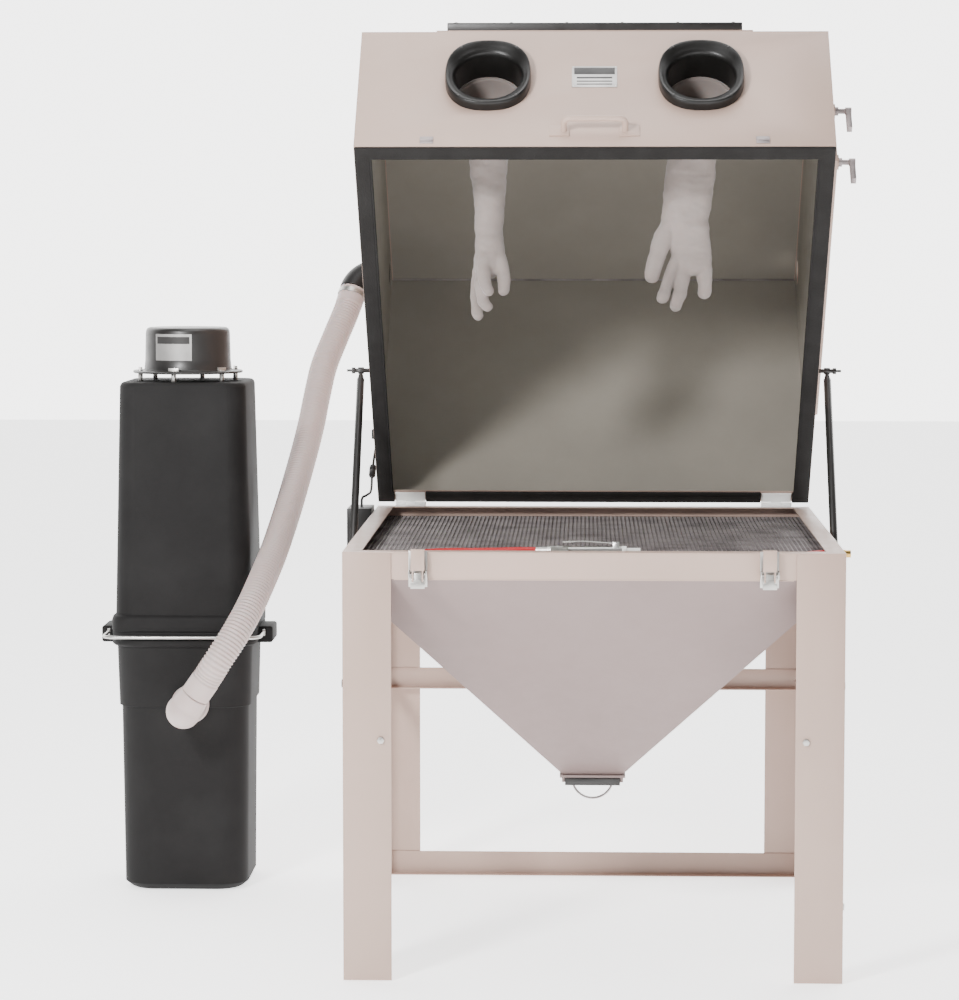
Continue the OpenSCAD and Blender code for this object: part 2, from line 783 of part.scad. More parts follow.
// Quarter-turn handle: a spindle through the door, an outer lever and an inner tongue.
module door_handle(z) {
    x1 = half_w + 0.8 + door_t;
    color(zinc) at_hood() translate([0, handle_y, z]) {
        along_x(x1 - 9, x1 + 30, 6);
        box([x1 - 9, -20, -6], [x1 - 6, 6, 6]);
        along_x(x1 + 4.3, x1 + 12, 10);
        along_x(x1 + 28, x1 + 42, 9);
        box([x1 + 29, -8, -62], [x1 + 41, 8, 0]);
    }
}
module door_handle_upper() door_handle(handle_upper_z);
module door_handle_lower() door_handle(handle_lower_z);

// ---------- Lamp cable and its box ----------

module junction_box() {
    color(black_rubber) at_base() {
        box([-half_w - 60, 350, 815], [-half_w - 1.5, 470, 935]);
        for (y = [365, 435]) box([-half_w - 1.5 - eps, y, 870], [-half_w + sheet, y + 20, 900]);
    }
}
lamp_cable_route = [
    [-543, 664, 1083], [-543, 663, 1068], [-546, 652, 1046], [-548, 638, 1027], [-549, 618, 1008],
    [-549, 595, 992], [-548, 570, 979], [-547, 545, 970], [-547, 520, 964], [-548, 495, 961],
    [-551, 470, 960], [-555, 448, 958], [-560, 428, 957], [-562, 417, 951], [-562, 415, 944],
    [-562, 415, 935]
];
module lamp_cable() color([0.2, 0.2, 0.2]) at_base() swept_tube(lamp_cable_route, 3, 8, [1, 0, 0]);

// ---------- Dust collector ----------

bin_corner = 56;
lobe_z = [598, 645];
elbow_h = 461;

module bin_lower() {
    color(bin_grey) at_bin() difference() {
        union() {
            bin_taper(272, 0, 302, 16, bin_corner);
            bin_taper(302, 16 - eps, 311, 450, bin_corner);
            bin_taper(322, 446, 330, bin_h - 30, bin_corner);
            translate([0, 0, bin_h - 37]) linear_extrude(height = 37) round_square(bin_rim_w, bin_corner);
            for (s = [-1, 1]) mirror([s < 0 ? 1 : 0, 0, 0]) {
                box([165, -58, lobe_z[0]], [196, 58, bin_h]);
                box([190, -52, lobe_z[0] + 14], [210, 52, bin_h]);
                translate([0, -75, bin_h - 12]) along_x(165, 200, 3);
                box([94, -196, bin_h - 26], [106, -170, bin_h - 16.05]);
            }
        }
        bin_taper(262, 5, 290, 20, bin_corner - 6);
        bin_taper(290, 20 - eps, 302, bin_h + 1, bin_corner - 6);
        translate([20, -120, elbow_h]) along_y(-80, 0, 30);
    }
}
module bin_upper() {
    color(bin_grey) at_bin() difference() {
        union() {
            bin_taper(331, bin_h + 30, 306, stack_h - 8, bin_corner);
            bin_taper(306, stack_h - 8 - eps, 292, stack_h, bin_corner);
            translate([0, 0, bin_h]) linear_extrude(height = 35) round_square(bin_rim_w - 2, bin_corner);
        }
        bin_taper(308, bin_h - 1, 292, stack_h - 8, bin_corner - 6);
        translate([0, 0, stack_h - 20]) cylinder(r = 60, h = 30);
    }
}
module filter_cartridge() {
    color("ivory") at_bin() difference() {
        translate([0, 0, 760]) cylinder(r = 105, h = stack_h - 8 - 760);
        translate([0, 0, 770]) cylinder(r = 75, h = stack_h);
    }
}
module vac_motor() {
    color(zinc) at_bin() {
        translate([0, 0, stack_h + 21]) cylinder(r = 78, h = 46);
        translate([0, 0, stack_h + 67 - eps]) cylinder(r = 55, h = 45);
    }
}
cap_foot = stack_h + 19;
module motor_cap() {
    color(bin_grey) at_bin() difference() {
        union() {
            translate([0, 0, cap_foot]) cylinder(r = 134, h = 2);
            rotate_extrude() polygon([[0, cap_foot], [105, cap_foot], [100, cap_foot + 104],
                                      [94, cap_foot + 111], [0, cap_foot + 111]]);
        }
        translate([0, 0, cap_foot + 2]) cylinder(r = 92, h = 103);
        translate([0, 0, cap_foot - 1]) cylinder(r = 60, h = 4);
    }
}
module cap_screws() {
    color(zinc) at_bin() for (a = [20 : 60 : 320]) rotate([0, 0, a]) translate([119, 0, 0]) {
        translate([0, 0, stack_h]) cylinder(r = 6, h = cap_foot - stack_h);
        translate([0, 0, cap_foot + 2]) cylinder(r = 7, h = 6);
        box([-2, -13, cap_foot + 6], [2, 13, cap_foot + 15]);
    }
}

module bin_elbow() {
    lead = 86;
    bend = 60;
    turn = 82;
    lean = 124.8;
    color([0.88, 0.84, 0.84]) at_bin() translate([20, -163, elbow_h]) {
        along_y(-lead, -8 + eps, 42);
        along_y(-8, 0, 50);
        along_y(-eps, 20, 29.9);
        translate([bend * 0.571, -lead, bend * 0.821]) rotate([0, lean, 0]) rotate([180, 0, 0])
            rotate_extrude(angle = turn) translate([bend, 0]) circle(r = 42);
    }
}

// Bail: a rod round the front of the lower bin, on a pin at each side.
module bin_bail() {
    front = -188;
    arm = 190;
    bend = 34;
    z = bin_h - 12;
    color(zinc) at_bin() translate([0, 0, z]) {
        translate([0, front, 0]) along_x(-arm + bend, arm - bend, 4);
        for (s = [-1, 1]) mirror([s < 0 ? 1 : 0, 0, 0]) difference() {
            union() {
                translate([arm - bend, front + bend, 0]) rotate([0, 0, -90])
                    rotate_extrude(angle = 90) translate([bend, 0]) circle(r = 4);
                translate([arm, 0, 0]) along_y(front + bend, -80, 4);
                translate([0, -75, 0]) along_x(arm - 3, arm + 3, 8);
            }
            translate([0, -75, 0]) along_x(arm - 10, arm + 10, 3 + running);
        }
    }
}

dust_hose_route = [
    [-627, 1042, 1447], [-642, 1010, 1396], [-667, 952, 1328], [-691, 885, 1257], [-704, 826, 1185],
    [-714, 765, 1115], [-725, 700, 1053], [-737, 634, 994], [-750, 560, 932], [-764, 480, 872],
    [-778, 400, 818], [-796, 320, 764], [-818, 250, 708], [-848, 200, 650], [-887, 173, 588],
    [-914, 178, 546], [-943, 185, 504.5]
];
module dust_hose() color([0.9, 0.87, 0.87]) at_base() swept_tube(dust_hose_route, hose_r, 12, [1, 0, 0]);

base_tub();
hopper();
leg_front_left();
leg_front_right();
leg_rear_left();
leg_rear_right();
frame_rails();
frame_bolts();
grate();
grate_ledges();
hinge_base_leaves();
hinge_pins();
latch_bases();
spring_brackets();
cleanout_collar();
gun_body();
gun_nozzle();
gun_hose();
air_fitting();
junction_box();
bin_lower();
bin_upper();
filter_cartridge();
vac_motor();
motor_cap();
cap_screws();
bin_elbow();
dust_hose();
latch_lever_left();
latch_lever_right();
latch_claw_left();
latch_claw_right();
spring_tube_left();
spring_tube_right();
spring_rod_left();
spring_rod_right();
cleanout_slide();
cleanout_bail();
gun_trigger();
bin_bail();
hood_shell();
hood_gasket();
window_frame();
window_glass();
arm_ring_left();
arm_ring_right();
glove_left();
glove_right();
pull_handle();
exhaust_elbow();
inlet_vent();
lamp();
hinge_hood_leaves();
hood_brackets();
cable_gland();
side_door();
door_hinge();
door_handle_upper();
door_handle_lower();
lamp_cable();
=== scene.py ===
"""Sandblast cabinet: the visible pieces and finishes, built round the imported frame."""

import json
import math

import bmesh
import bpy
from mathutils import Matrix, Vector, noise

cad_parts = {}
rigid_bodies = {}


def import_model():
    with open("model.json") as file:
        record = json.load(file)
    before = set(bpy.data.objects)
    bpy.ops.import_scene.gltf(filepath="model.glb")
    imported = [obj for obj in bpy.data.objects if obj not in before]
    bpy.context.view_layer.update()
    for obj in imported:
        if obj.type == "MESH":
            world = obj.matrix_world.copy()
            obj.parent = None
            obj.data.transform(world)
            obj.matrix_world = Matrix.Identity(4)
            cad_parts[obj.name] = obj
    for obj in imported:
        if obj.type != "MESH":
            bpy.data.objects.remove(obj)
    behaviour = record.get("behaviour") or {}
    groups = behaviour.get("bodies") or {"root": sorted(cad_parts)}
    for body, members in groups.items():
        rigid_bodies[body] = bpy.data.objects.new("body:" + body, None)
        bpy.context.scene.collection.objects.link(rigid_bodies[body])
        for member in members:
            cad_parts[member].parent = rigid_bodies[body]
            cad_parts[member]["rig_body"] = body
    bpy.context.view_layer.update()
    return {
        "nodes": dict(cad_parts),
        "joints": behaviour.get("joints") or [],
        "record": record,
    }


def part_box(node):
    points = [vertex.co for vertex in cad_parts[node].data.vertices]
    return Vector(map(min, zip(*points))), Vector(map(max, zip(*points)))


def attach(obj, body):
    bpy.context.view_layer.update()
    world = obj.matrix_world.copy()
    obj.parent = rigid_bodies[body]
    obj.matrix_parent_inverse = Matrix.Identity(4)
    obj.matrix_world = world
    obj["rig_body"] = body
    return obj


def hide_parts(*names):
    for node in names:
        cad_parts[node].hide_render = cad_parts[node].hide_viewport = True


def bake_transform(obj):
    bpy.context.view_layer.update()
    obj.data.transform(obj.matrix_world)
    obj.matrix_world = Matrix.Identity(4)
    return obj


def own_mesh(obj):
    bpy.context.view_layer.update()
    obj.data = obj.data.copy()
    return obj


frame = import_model()

MM = 0.001
SLOTS = {part["node"]: part["material_slot"] for part in frame["record"]["subparts"]}
JOINTS = {joint["name"]: joint for joint in frame["joints"]}

# The cabinet's own centre and half sizes, and the hood's frame in the open place.
tub_low, tub_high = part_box("base_tub")
CABINET = Vector(((tub_low.x + tub_high.x) / 2, (tub_low.y + tub_high.y) / 2, 0))
HALF_W = (tub_high.x - tub_low.x) / 2
HALF_D = (tub_high.y - tub_low.y) / 2
HINGE = Vector(JOINTS["hood_hinge"]["pos_m"])
HINGE.x = CABINET.x
OPEN = math.radians(JOINTS["hood_hinge"]["range_deg"][1])
HOOD = Matrix.Translation(HINGE) @ Matrix.Rotation(-OPEN, 4, "X")
BASE = Matrix.Translation(CABINET)

# The hood's side outline in its own frame: front face, sloped window sheet, flat top, back.
HOOD_FRONT = -1.188
HOOD_BACK = -0.008
FACE_TOP = 0.392
HOOD_TOP = 0.784
SLOPE_Y = -0.795

# The arm ports' centres on the hood's front face, and the radius of their collars.
PORT_X = 0.240
PORT_Z = 0.230
COLLAR_R = 0.0765


def base_point(x, y, z):
    """A point of the cabinet's own frame, given in millimetres."""
    return CABINET + Vector((x, y, z)) * MM


# ---------- Camera and studio ----------

CAMERA_DOWN, CAMERA_LEFT = 4.71, 1.94
PAPER_GLOW = 1.7


def add_camera():
    camera = bpy.data.objects.new("camera", bpy.data.cameras.new("camera"))
    bpy.context.scene.collection.objects.link(camera)
    camera.location = base_point(-11, -7392, 1595)
    camera.rotation_euler = (math.radians(90 - CAMERA_DOWN), 0, math.radians(CAMERA_LEFT))
    camera.data.sensor_width = 36
    camera.data.lens = 116.2
    camera.data.clip_end = 60
    bpy.context.scene.camera = camera


def add_floor():
    bpy.ops.mesh.primitive_plane_add(size=40, location=(0, 0, -0.001))
    floor = bpy.context.object
    floor.name = "studio_floor"
    backdrop_white = bpy.data.materials.new("backdrop_white")
    backdrop_white.use_nodes = True
    surface = backdrop_white.node_tree.nodes["Principled BSDF"]
    surface.label = "Matt white floor"
    surface.inputs["Base Color"].default_value = (0.97, 0.97, 0.97, 1)
    surface.inputs["Roughness"].default_value = 0.8
    surface.inputs["Emission Color"].default_value = (1, 1, 1, 1)
    surface.inputs["Emission Strength"].default_value = PAPER_GLOW
    floor.data.materials.append(backdrop_white)


def add_studio():
    """White floor and paper sweep behind, a dim room in front, and three softboxes."""
    add_floor()
    world = bpy.data.worlds.new("studio_air")
    world.use_nodes = True
    tree = world.node_tree
    background = tree.nodes["Background"]
    background.label = "Studio air"
    background.inputs["Color"].default_value = (1, 0.995, 0.99, 1)
    coords = add_node(tree, "TexCoord", "Direction of view")
    split = add_node(tree, "SeparateXYZ", "Front to back")
    sweep = add_node(tree, "MapRange", "White paper sweep behind, dim room in front",
                     {"From Min": -0.1, "From Max": 0.7, "To Min": 0.1, "To Max": 4.6})
    sweep.interpolation_type = "SMOOTHSTEP"
    arrange(tree, [[coords, split, sweep]], {"Paper sweep": [split, sweep]})
    connect(tree, (coords, "Generated", split, "Vector"), (split, "Y", sweep, "Value"),
            (sweep, "Result", background, "Strength"))
    bpy.context.scene.world = world
    add_softbox("key_light", (-1.95, -4.1, 3.1), (0.3, 0.3, 1.25), 0.7, 285)
    add_softbox("front_fill", (1.6, -5.6, 0.7), (0.2, -0.6, 0.6), 2.0, 45)
    add_softbox("top_light", (0.2, -1.0, 4.6), (0.2, 0.1, 1.0), 2.6, 95)


def add_softbox(name, place, target, size, power):
    light = bpy.data.lights.new(name, "AREA")
    light.size = size
    light.energy = power
    lamp = bpy.data.objects.new(name, light)
    lamp.location = place
    view = Vector(target) - Vector(place)
    lamp.rotation_euler = view.to_track_quat("-Z", "Y").to_euler()
    bpy.context.scene.collection.objects.link(lamp)


# ---------- Materials ----------

def linear(red, green, blue):
    """A colour written as 0 to 255 display values, as the linear values that shaders take."""
    values = [channel / 255 for channel in (red, green, blue)]
    return tuple(v / 12.92 if v <= 0.04045 else ((v + 0.055) / 1.055) ** 2.4
                 for v in values) + (1,)


def toward(colour, grey, share):
    """The colour moved by a share of the way to a level of grey."""
    return tuple(c + (grey - c) * share for c in colour[:3]) + (1,)


def blank_material(name):
    material = bpy.data.materials.new(name)
    material.use_nodes = True
    material.node_tree.nodes.clear()
    return material


def add_node(tree, kind, label, values=None):
    """A labelled shader node, with the values of its sockets."""
    node = tree.nodes.new("ShaderNode" + kind)
    node.label = label
    for socket, value in (values or {}).items():
        node.inputs[socket].default_value = value
    return node


def add_tones(tree, label, start, start_colour, end, end_colour):
    """A colour ramp between two stops."""
    tones = add_node(tree, "ValToRGB", label)
    low, high = tones.color_ramp.elements
    low.position, high.position = start, end
    low.color, high.color = start_colour, end_colour
    return tones


def connect(tree, *wires):
    """Joins sockets; each wire is (from node, output, to node, input)."""
    for source, output, target, entry in wires:
        tree.links.new(source.outputs[output], target.inputs[entry])


def add_place(tree, label, *textures):
    """The piece's own coordinates, joined to the textures drawn in them."""
    coords = add_node(tree, "TexCoord", label)
    connect(tree, *[(coords, "Object", texture, "Vector") for texture in textures])
    return coords


def add_surface(tree, label, values):
    """The shader with its values, and the output it feeds."""
    shader = add_node(tree, "BsdfPrincipled", label, values)
    out = add_node(tree, "OutputMaterial", "Surface")
    connect(tree, (shader, "BSDF", out, "Surface"))
    return shader, out


def arrange(tree, rows, groups):
    """Places the nodes in rows of the editor and frames each named group."""
    for row, nodes in enumerate(rows):
        for column, node in enumerate(nodes):
            node.location = (column * 210 - 900, row * -320)
    for label, nodes in groups.items():
        group = tree.nodes.new("NodeFrame")
        group.label = label
        for node in nodes:
            node.parent = group


def coated_steel(name, colour, roughness, drift=0.07, peel=0.12):
    """Powder-coated sheet: orange peel, a faint drift of tone, and small rubbed marks."""
    material = blank_material(name)
    tree = material.node_tree
    clouds = add_node(tree, "TexNoise", "Slow drift of the coat's tone",
                      {"Scale": 3.2, "Detail": 4})
    tones = add_tones(tree, "Coat colour, dull to light",
                      0.3, toward(colour, 0, drift), 0.72, colour)
    scuffs = add_node(tree, "TexNoise", "Rubbed patches",
                      {"Scale": 21, "Detail": 6, "Roughness": 0.65})
    sheen = add_node(tree, "MapRange", "Gloss over rubbed patches",
                     {"From Min": 0.35, "From Max": 0.7,
                      "To Min": roughness - 0.06, "To Max": roughness + 0.1})
    pores = add_node(tree, "TexNoise", "Orange peel", {"Scale": 420, "Detail": 2})
    relief = add_node(tree, "Bump", "Peel height", {"Strength": peel, "Distance": 0.0004})
    shader, out = add_surface(tree, "Coated steel",
                      {"Coat Weight": 0.12, "Coat Roughness": 0.25})
    coords = add_place(tree, "Place on the sheet", clouds, scuffs, pores)
    arrange(tree, [[coords, clouds, tones, shader, out], [scuffs, sheen], [pores, relief]],
            {"Tone": [clouds, tones], "Gloss": [scuffs, sheen], "Orange peel": [pores, relief]})
    connect(tree, (clouds, "Fac", tones, "Fac"), (tones, "Color", shader, "Base Color"),
            (scuffs, "Fac", sheen, "Value"), (sheen, "Result", shader, "Roughness"),
            (pores, "Fac", relief, "Height"), (relief, "Normal", shader, "Normal"))
    return material


def bare_metal(name, colour, roughness, stretch=(1, 1, 30), tarnish=0.25):
    """Bare or plated metal: brushed streaks, and a dull bloom where it is handled."""
    material = blank_material(name)
    tree = material.node_tree
    draw = add_node(tree, "Mapping", "Streaks drawn out along the grain", {"Scale": stretch})
    streaks = add_node(tree, "TexNoise", "Brushed streaks", {"Scale": 60, "Detail": 5})
    gloss = add_node(tree, "MapRange", "Roughness across streaks",
                     {"To Min": roughness - 0.08, "To Max": roughness + 0.16})
    bloom = add_node(tree, "TexNoise", "Tarnish bloom", {"Scale": 14, "Detail": 6})
    tones = add_tones(tree, "Clean metal to tarnish",
                      0.38, colour, 0.68, toward(colour, 0, tarnish))
    relief = add_node(tree, "Bump", "Streak height", {"Strength": 0.15, "Distance": 0.0003})
    shader, out = add_surface(tree, "Metal", {"Metallic": 1})
    coords = add_place(tree, "Place on the metal", draw, bloom)
    arrange(tree, [[coords, bloom, tones, shader, out], [draw, streaks, gloss, relief]],
            {"Tarnish": [bloom, tones], "Brushing": [draw, streaks, gloss, relief]})
    connect(tree, (draw, "Vector", streaks, "Vector"), (streaks, "Fac", gloss, "Value"),
            (streaks, "Fac", relief, "Height"), (bloom, "Fac", tones, "Fac"),
            (tones, "Color", shader, "Base Color"), (gloss, "Result", shader, "Roughness"),
            (relief, "Normal", shader, "Normal"))
    return material


def moulded_plastic(name, colour, roughness, grain=320, depth=0.2, dust=0.06,
                    see_through=0.0, gleam=0.5):
    """Moulded plastic: spark-eroded grain, thumbed shine and a little dust."""
    material = blank_material(name)
    tree = material.node_tree
    veil = add_node(tree, "TexNoise", "Dust veil", {"Scale": 6, "Detail": 7})
    tones = add_tones(tree, "Clean to dusty plastic",
                      0.42, colour, 0.78, toward(colour, 0.6, dust))
    shine = add_node(tree, "MapRange", "Shine where it is clean",
                     {"To Min": roughness - 0.1, "To Max": roughness + 0.12})
    pits = add_node(tree, "TexVoronoi", "Mould grain", {"Scale": grain})
    relief = add_node(tree, "Bump", "Grain height", {"Strength": depth, "Distance": 0.0005})
    shader, out = add_surface(tree, "Plastic",
                      {"Specular IOR Level": gleam, "Subsurface Weight": see_through,
                       "Subsurface Scale": 0.004})
    coords = add_place(tree, "Place on the moulding", veil, pits)
    arrange(tree, [[coords, veil, tones, shader, out], [shine, pits, relief]],
            {"Dust": [veil, tones, shine], "Mould grain": [pits, relief]})
    connect(tree, (veil, "Fac", tones, "Fac"), (veil, "Fac", shine, "Value"),
            (tones, "Color", shader, "Base Color"), (shine, "Result", shader, "Roughness"),
            (pits, "Distance", relief, "Height"), (relief, "Normal", shader, "Normal"))
    return material


def soft_rubber(name, colour, roughness, cell=260, depth=0.5, bloom=0.12):
    """Rubber or foam: open cells, and a grey bloom in patches."""
    material = blank_material(name)
    tree = material.node_tree
    cells = add_node(tree, "TexVoronoi", "Foam cells", {"Scale": cell})
    smear = add_node(tree, "TexNoise", "Grey bloom", {"Scale": 17, "Detail": 5})
    tones = add_tones(tree, "Fresh to bloomed rubber",
                      0.4, colour, 0.8, toward(colour, 0.45, bloom))
    relief = add_node(tree, "Bump", "Cell depth", {"Strength": depth, "Distance": 0.0008})
    shader, out = add_surface(tree, "Rubber",
                      {"Roughness": roughness, "Specular IOR Level": 0.3})
    coords = add_place(tree, "Place on the rubber", cells, smear)
    arrange(tree, [[coords, smear, tones, shader, out], [cells, relief]],
            {"Bloom": [smear, tones], "Cells": [cells, relief]})
    connect(tree, (smear, "Fac", tones, "Fac"), (tones, "Color", shader, "Base Color"),
            (cells, "Distance", relief, "Height"), (relief, "Normal", shader, "Normal"))
    return material


def glove_cloth():
    """Rubber-dipped cotton: a fine knit under a matt skin, dulled by dust in patches, its colours
    darkened as painted shade for the shade under the hood.
    """
    material = blank_material("glove_cloth")
    tree = material.node_tree
    soil = add_node(tree, "TexNoise", "Blast dust", {"Scale": 9, "Detail": 8})
    # Both cloth colours are darkened as painted shade; the noise between them is real dust.
    tones = add_tones(tree, "Clean to dusty cloth, darkened as painted shade",
                      0.35, linear(140, 129, 124), 0.75, linear(116, 106, 101))
    threads = []
    for label, direction in (("Rows of the knit", "Z"), ("Columns of the knit", "X")):
        wave = add_node(tree, "TexWave", label, {"Scale": 190, "Distortion": 1.5})
        wave.wave_type = "BANDS"
        wave.bands_direction = direction
        threads.append(wave)
    rows, columns = threads
    knit = add_node(tree, "Math", "Stitches where both cross")
    knit.operation = "MULTIPLY"
    relief = add_node(tree, "Bump", "Knit height", {"Strength": 0.25, "Distance": 0.0004})
    shader, out = add_surface(tree, "Dipped cotton",
                      {"Roughness": 0.72, "Sheen Weight": 0.3, "Sheen Roughness": 0.5,
                       "Subsurface Weight": 0.08, "Subsurface Scale": 0.004})
    coords = add_place(tree, "Place on the glove", soil, rows, columns)
    arrange(tree, [[coords, soil, tones, shader, out], [rows, knit, relief], [columns]],
            {"Dust": [soil, tones], "Knit": [rows, columns, knit, relief]})
    connect(tree, (soil, "Fac", tones, "Fac"), (tones, "Color", shader, "Base Color"),
            (rows, "Fac", knit, 0), (columns, "Fac", knit, 1), (knit, "Value", relief, "Height"),
            (relief, "Normal", shader, "Normal"))
    return material


def safety_glass():
    """Window glass with a faint haze of blasting marks."""
    material = blank_material("safety_glass")
    tree = material.node_tree
    frost = add_node(tree, "TexNoise", "Blasting haze", {"Scale": 30, "Detail": 8})
    haze = add_node(tree, "MapRange", "Haze as roughness", {"To Min": 0.02, "To Max": 0.16})
    shader, out = add_surface(tree, "Glass",
                      {"Base Color": (0.82, 0.88, 0.87, 1), "Transmission Weight": 0.92,
                       "IOR": 1.46})
    coords = add_place(tree, "Place on the pane", frost)
    arrange(tree, [[coords, frost, haze, shader, out]], {"Haze": [frost, haze]})
    connect(tree, (frost, "Fac", haze, "Value"), (haze, "Result", shader, "Roughness"))
    return material


PAINT = coated_steel("beige_paint", linear(178, 153, 140), 0.46)
# Hood's inside: a darker, greyer copy of the beige paint, painted shade for the shaded inside, with
# a stronger random drift of tone for blast dust.
INSIDE_PAINT_DUST_AND_SHADE = coated_steel("inside_paint_dust_and_shade", linear(147, 141, 131), 0.62,
                            drift=0.16, peel=0.3)
# Paint for the paint_shade slot, such as the hopper: a darker, cooler copy of the beige, painted
# shade for the shadow under the tub.
HOPPER_PAINTED_SHADE = coated_steel("hopper_paint_painted_shade", linear(130, 113, 110), 0.54, drift=0.08)
DARK_PAINT = coated_steel("charcoal_paint", linear(30, 28, 27), 0.4, drift=0.2)
ZINC = bare_metal("zinc_plate", linear(200, 198, 194), 0.34)
WHITE_ZINC = coated_steel("white_hinge_paint", linear(250, 250, 248), 0.4, drift=0.02)
GRATE_STEEL = bare_metal("grate_steel", linear(168, 160, 160), 0.5,
                         stretch=(1, 30, 1), tarnish=0.4)
GUN_METAL = bare_metal("cast_aluminium", linear(205, 204, 200), 0.38, stretch=(6, 6, 6))
BRASS = bare_metal("brass_fitting", linear(202, 166, 98), 0.3)
NOZZLE_WHITE = moulded_plastic("white_nozzle", linear(236, 234, 229), 0.32, dust=0.02)
BIN_PLASTIC = moulded_plastic("charcoal_plastic", linear(24, 23, 23), 0.68,
                              grain=260, depth=0.25, dust=0.012, gleam=0.16)
BLACK_PLASTIC = moulded_plastic("black_plastic", linear(20, 19, 19), 0.42,
                                dust=0.02, gleam=0.3)
HOSE_PLASTIC = moulded_plastic("pale_hose", linear(184, 168, 164), 0.5,
                               dust=0.02, see_through=0.1)
LAMP_WHITE = moulded_plastic("lamp_white", linear(232, 231, 226), 0.35)
FOAM = soft_rubber("foam_seal", linear(24, 22, 21), 0.9, bloom=0.012)
PORT_RUBBER = soft_rubber("port_rubber", linear(18, 17, 16), 0.36,
                          cell=500, depth=0.1, bloom=0.01)
RED_RUBBER = soft_rubber("red_air_hose", linear(176, 22, 30), 0.42,
                         cell=600, depth=0.1, bloom=0.04)
CABLE_RUBBER = soft_rubber("cable_rubber", linear(20, 19, 19), 0.55, cell=600, depth=0.1)
FILTER_PAPER = soft_rubber("filter_paper", linear(222, 214, 192), 0.85, cell=700, depth=0.3)
GLOVE_CLOTH = glove_cloth()
GLASS = safety_glass()
PLATE = bare_metal("label_plate", linear(176, 174, 172), 0.32, stretch=(40, 1, 1))
GLOW = moulded_plastic("lamp_diffuser", linear(242, 242, 238), 0.3,
                       dust=0.0, see_through=0.4)

FINISHES = {
    "paint": PAINT, "paint_shade": HOPPER_PAINTED_SHADE, "zinc": ZINC, "dark_steel": DARK_PAINT,
    "grate_steel": GRATE_STEEL, "gun_metal": GUN_METAL, "nozzle_white": NOZZLE_WHITE,
    "red_hose": RED_RUBBER, "brass": BRASS, "black_plastic": BLACK_PLASTIC,
    "bin_plastic": BIN_PLASTIC, "filter_paper": FILTER_PAPER, "motor_metal": GUN_METAL,
    "white_hose": HOSE_PLASTIC, "foam_seal": FOAM, "port_rubber": PORT_RUBBER,
    "clear_glass": GLASS, "glove_fabric": GLOVE_CLOTH, "lamp_white": LAMP_WHITE,
    "cable_rubber": CABLE_RUBBER,
}


# ---------- Bench work: the steps that every piece shares ----------

def pick(piece):
    """Makes the piece the only selected object, and the active one."""
    bpy.ops.object.select_all(action="DESELECT")
    piece.select_set(True)
    bpy.context.view_layer.objects.active = piece


def apply_modifier(piece, kind, **settings):
    pick(piece)
    modifier = piece.modifiers.new(kind.lower(), kind)
    for key, value in settings.items():
        setattr(modifier, key, value)
    bpy.ops.object.modifier_apply(modifier=modifier.name)


def round_edges(piece, width, segments=2, angle=35):
    apply_modifier(piece, "BEVEL", width=width, segments=segments, limit_method="ANGLE",
                   angle_limit=math.radians(angle))


def settle(piece, name, body, slot, material=None, stands_for=(), place=None, smooth=40):
    """Bakes the piece's place into its mesh, gives it its finish and fixes it to its body."""
    pick(piece)
    bpy.ops.object.transform_apply(location=True, rotation=True, scale=True)
    if place is not None:
        piece.data.transform(place)
    piece.name = name
    piece.data.materials.clear()
    piece.data.materials.append(material or FINISHES[slot])
    if smooth:
        pick(piece)
        bpy.ops.object.shade_smooth_by_angle(angle=math.radians(smooth))
    if stands_for:
        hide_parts(*stands_for)
    if body:
        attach(piece, body)
    return piece


def join(pieces):
    """The pieces as one object, the first of them."""
    bpy.ops.object.select_all(action="DESELECT")
    for piece in pieces:
        piece.select_set(True)
    bpy.context.view_layer.objects.active = pieces[0]
    if len(pieces) > 1:
        bpy.ops.object.join()
    return bpy.context.object


def block(low, high, width=0.0):
    """A block between two corners, with its edges rounded to the given width."""
    low, high = Vector(low), Vector(high)
    bpy.ops.object.select_all(action="DESELECT")
    bpy.ops.mesh.primitive_cube_add(size=1, location=(low + high) / 2)
    piece = bpy.context.object
    piece.scale = high - low
    bpy.ops.object.transform_apply(location=True, rotation=True, scale=True)
    if width:
        round_edges(piece, width)
    return piece


def turned(profile, centre, axis, steps):
    """A solid of revolution: (radius, height) pairs along the axis from the centre."""
    bpy.ops.object.select_all(action="DESELECT")
    bpy.ops.mesh.primitive_plane_add(size=1)
    piece = bpy.context.object
    bpy.ops.object.mode_set(mode="EDIT")
    shape = bmesh.from_edit_mesh(piece.data)
    bmesh.ops.delete(shape, geom=shape.verts[:], context="VERTS")
    points = [shape.verts.new((radius, 0, height)) for radius, height in profile]
    for first, second in zip(points, points[1:]):
        shape.edges.new((first, second))
    bmesh.update_edit_mesh(piece.data)
    bpy.ops.mesh.select_all(action="SELECT")
    bpy.ops.mesh.spin(steps=steps, angle=2 * math.pi, center=(0, 0, 0), axis=(0, 0, 1))
    bpy.ops.mesh.select_all(action="SELECT")
    bpy.ops.mesh.remove_doubles(threshold=0.00001)
    bpy.ops.mesh.normals_make_consistent(inside=False)
    bpy.ops.object.mode_set(mode="OBJECT")
    turn = Vector((0, 0, 1)).rotation_difference(Vector(axis)).to_matrix().to_4x4()
    piece.data.transform(Matrix.Translation(Vector(centre)) @ turn)
    return piece


def wire(points, radius):
    """A round bead through the points."""
    curve = bpy.data.curves.new("wire", "CURVE")
    curve.dimensions = "3D"
    curve.bevel_depth = radius
    curve.bevel_resolution = 4
    curve.use_fill_caps = True
    spline = curve.splines.new("POLY")
    spline.points.add(len(points) - 1)
    for target, point in zip(spline.points, points):
        target.co = (*point, 1)
    piece = bpy.data.objects.new("wire", curve)
    bpy.context.scene.collection.objects.link(piece)
    pick(piece)
    bpy.ops.object.convert(target="MESH")
    return bpy.context.object


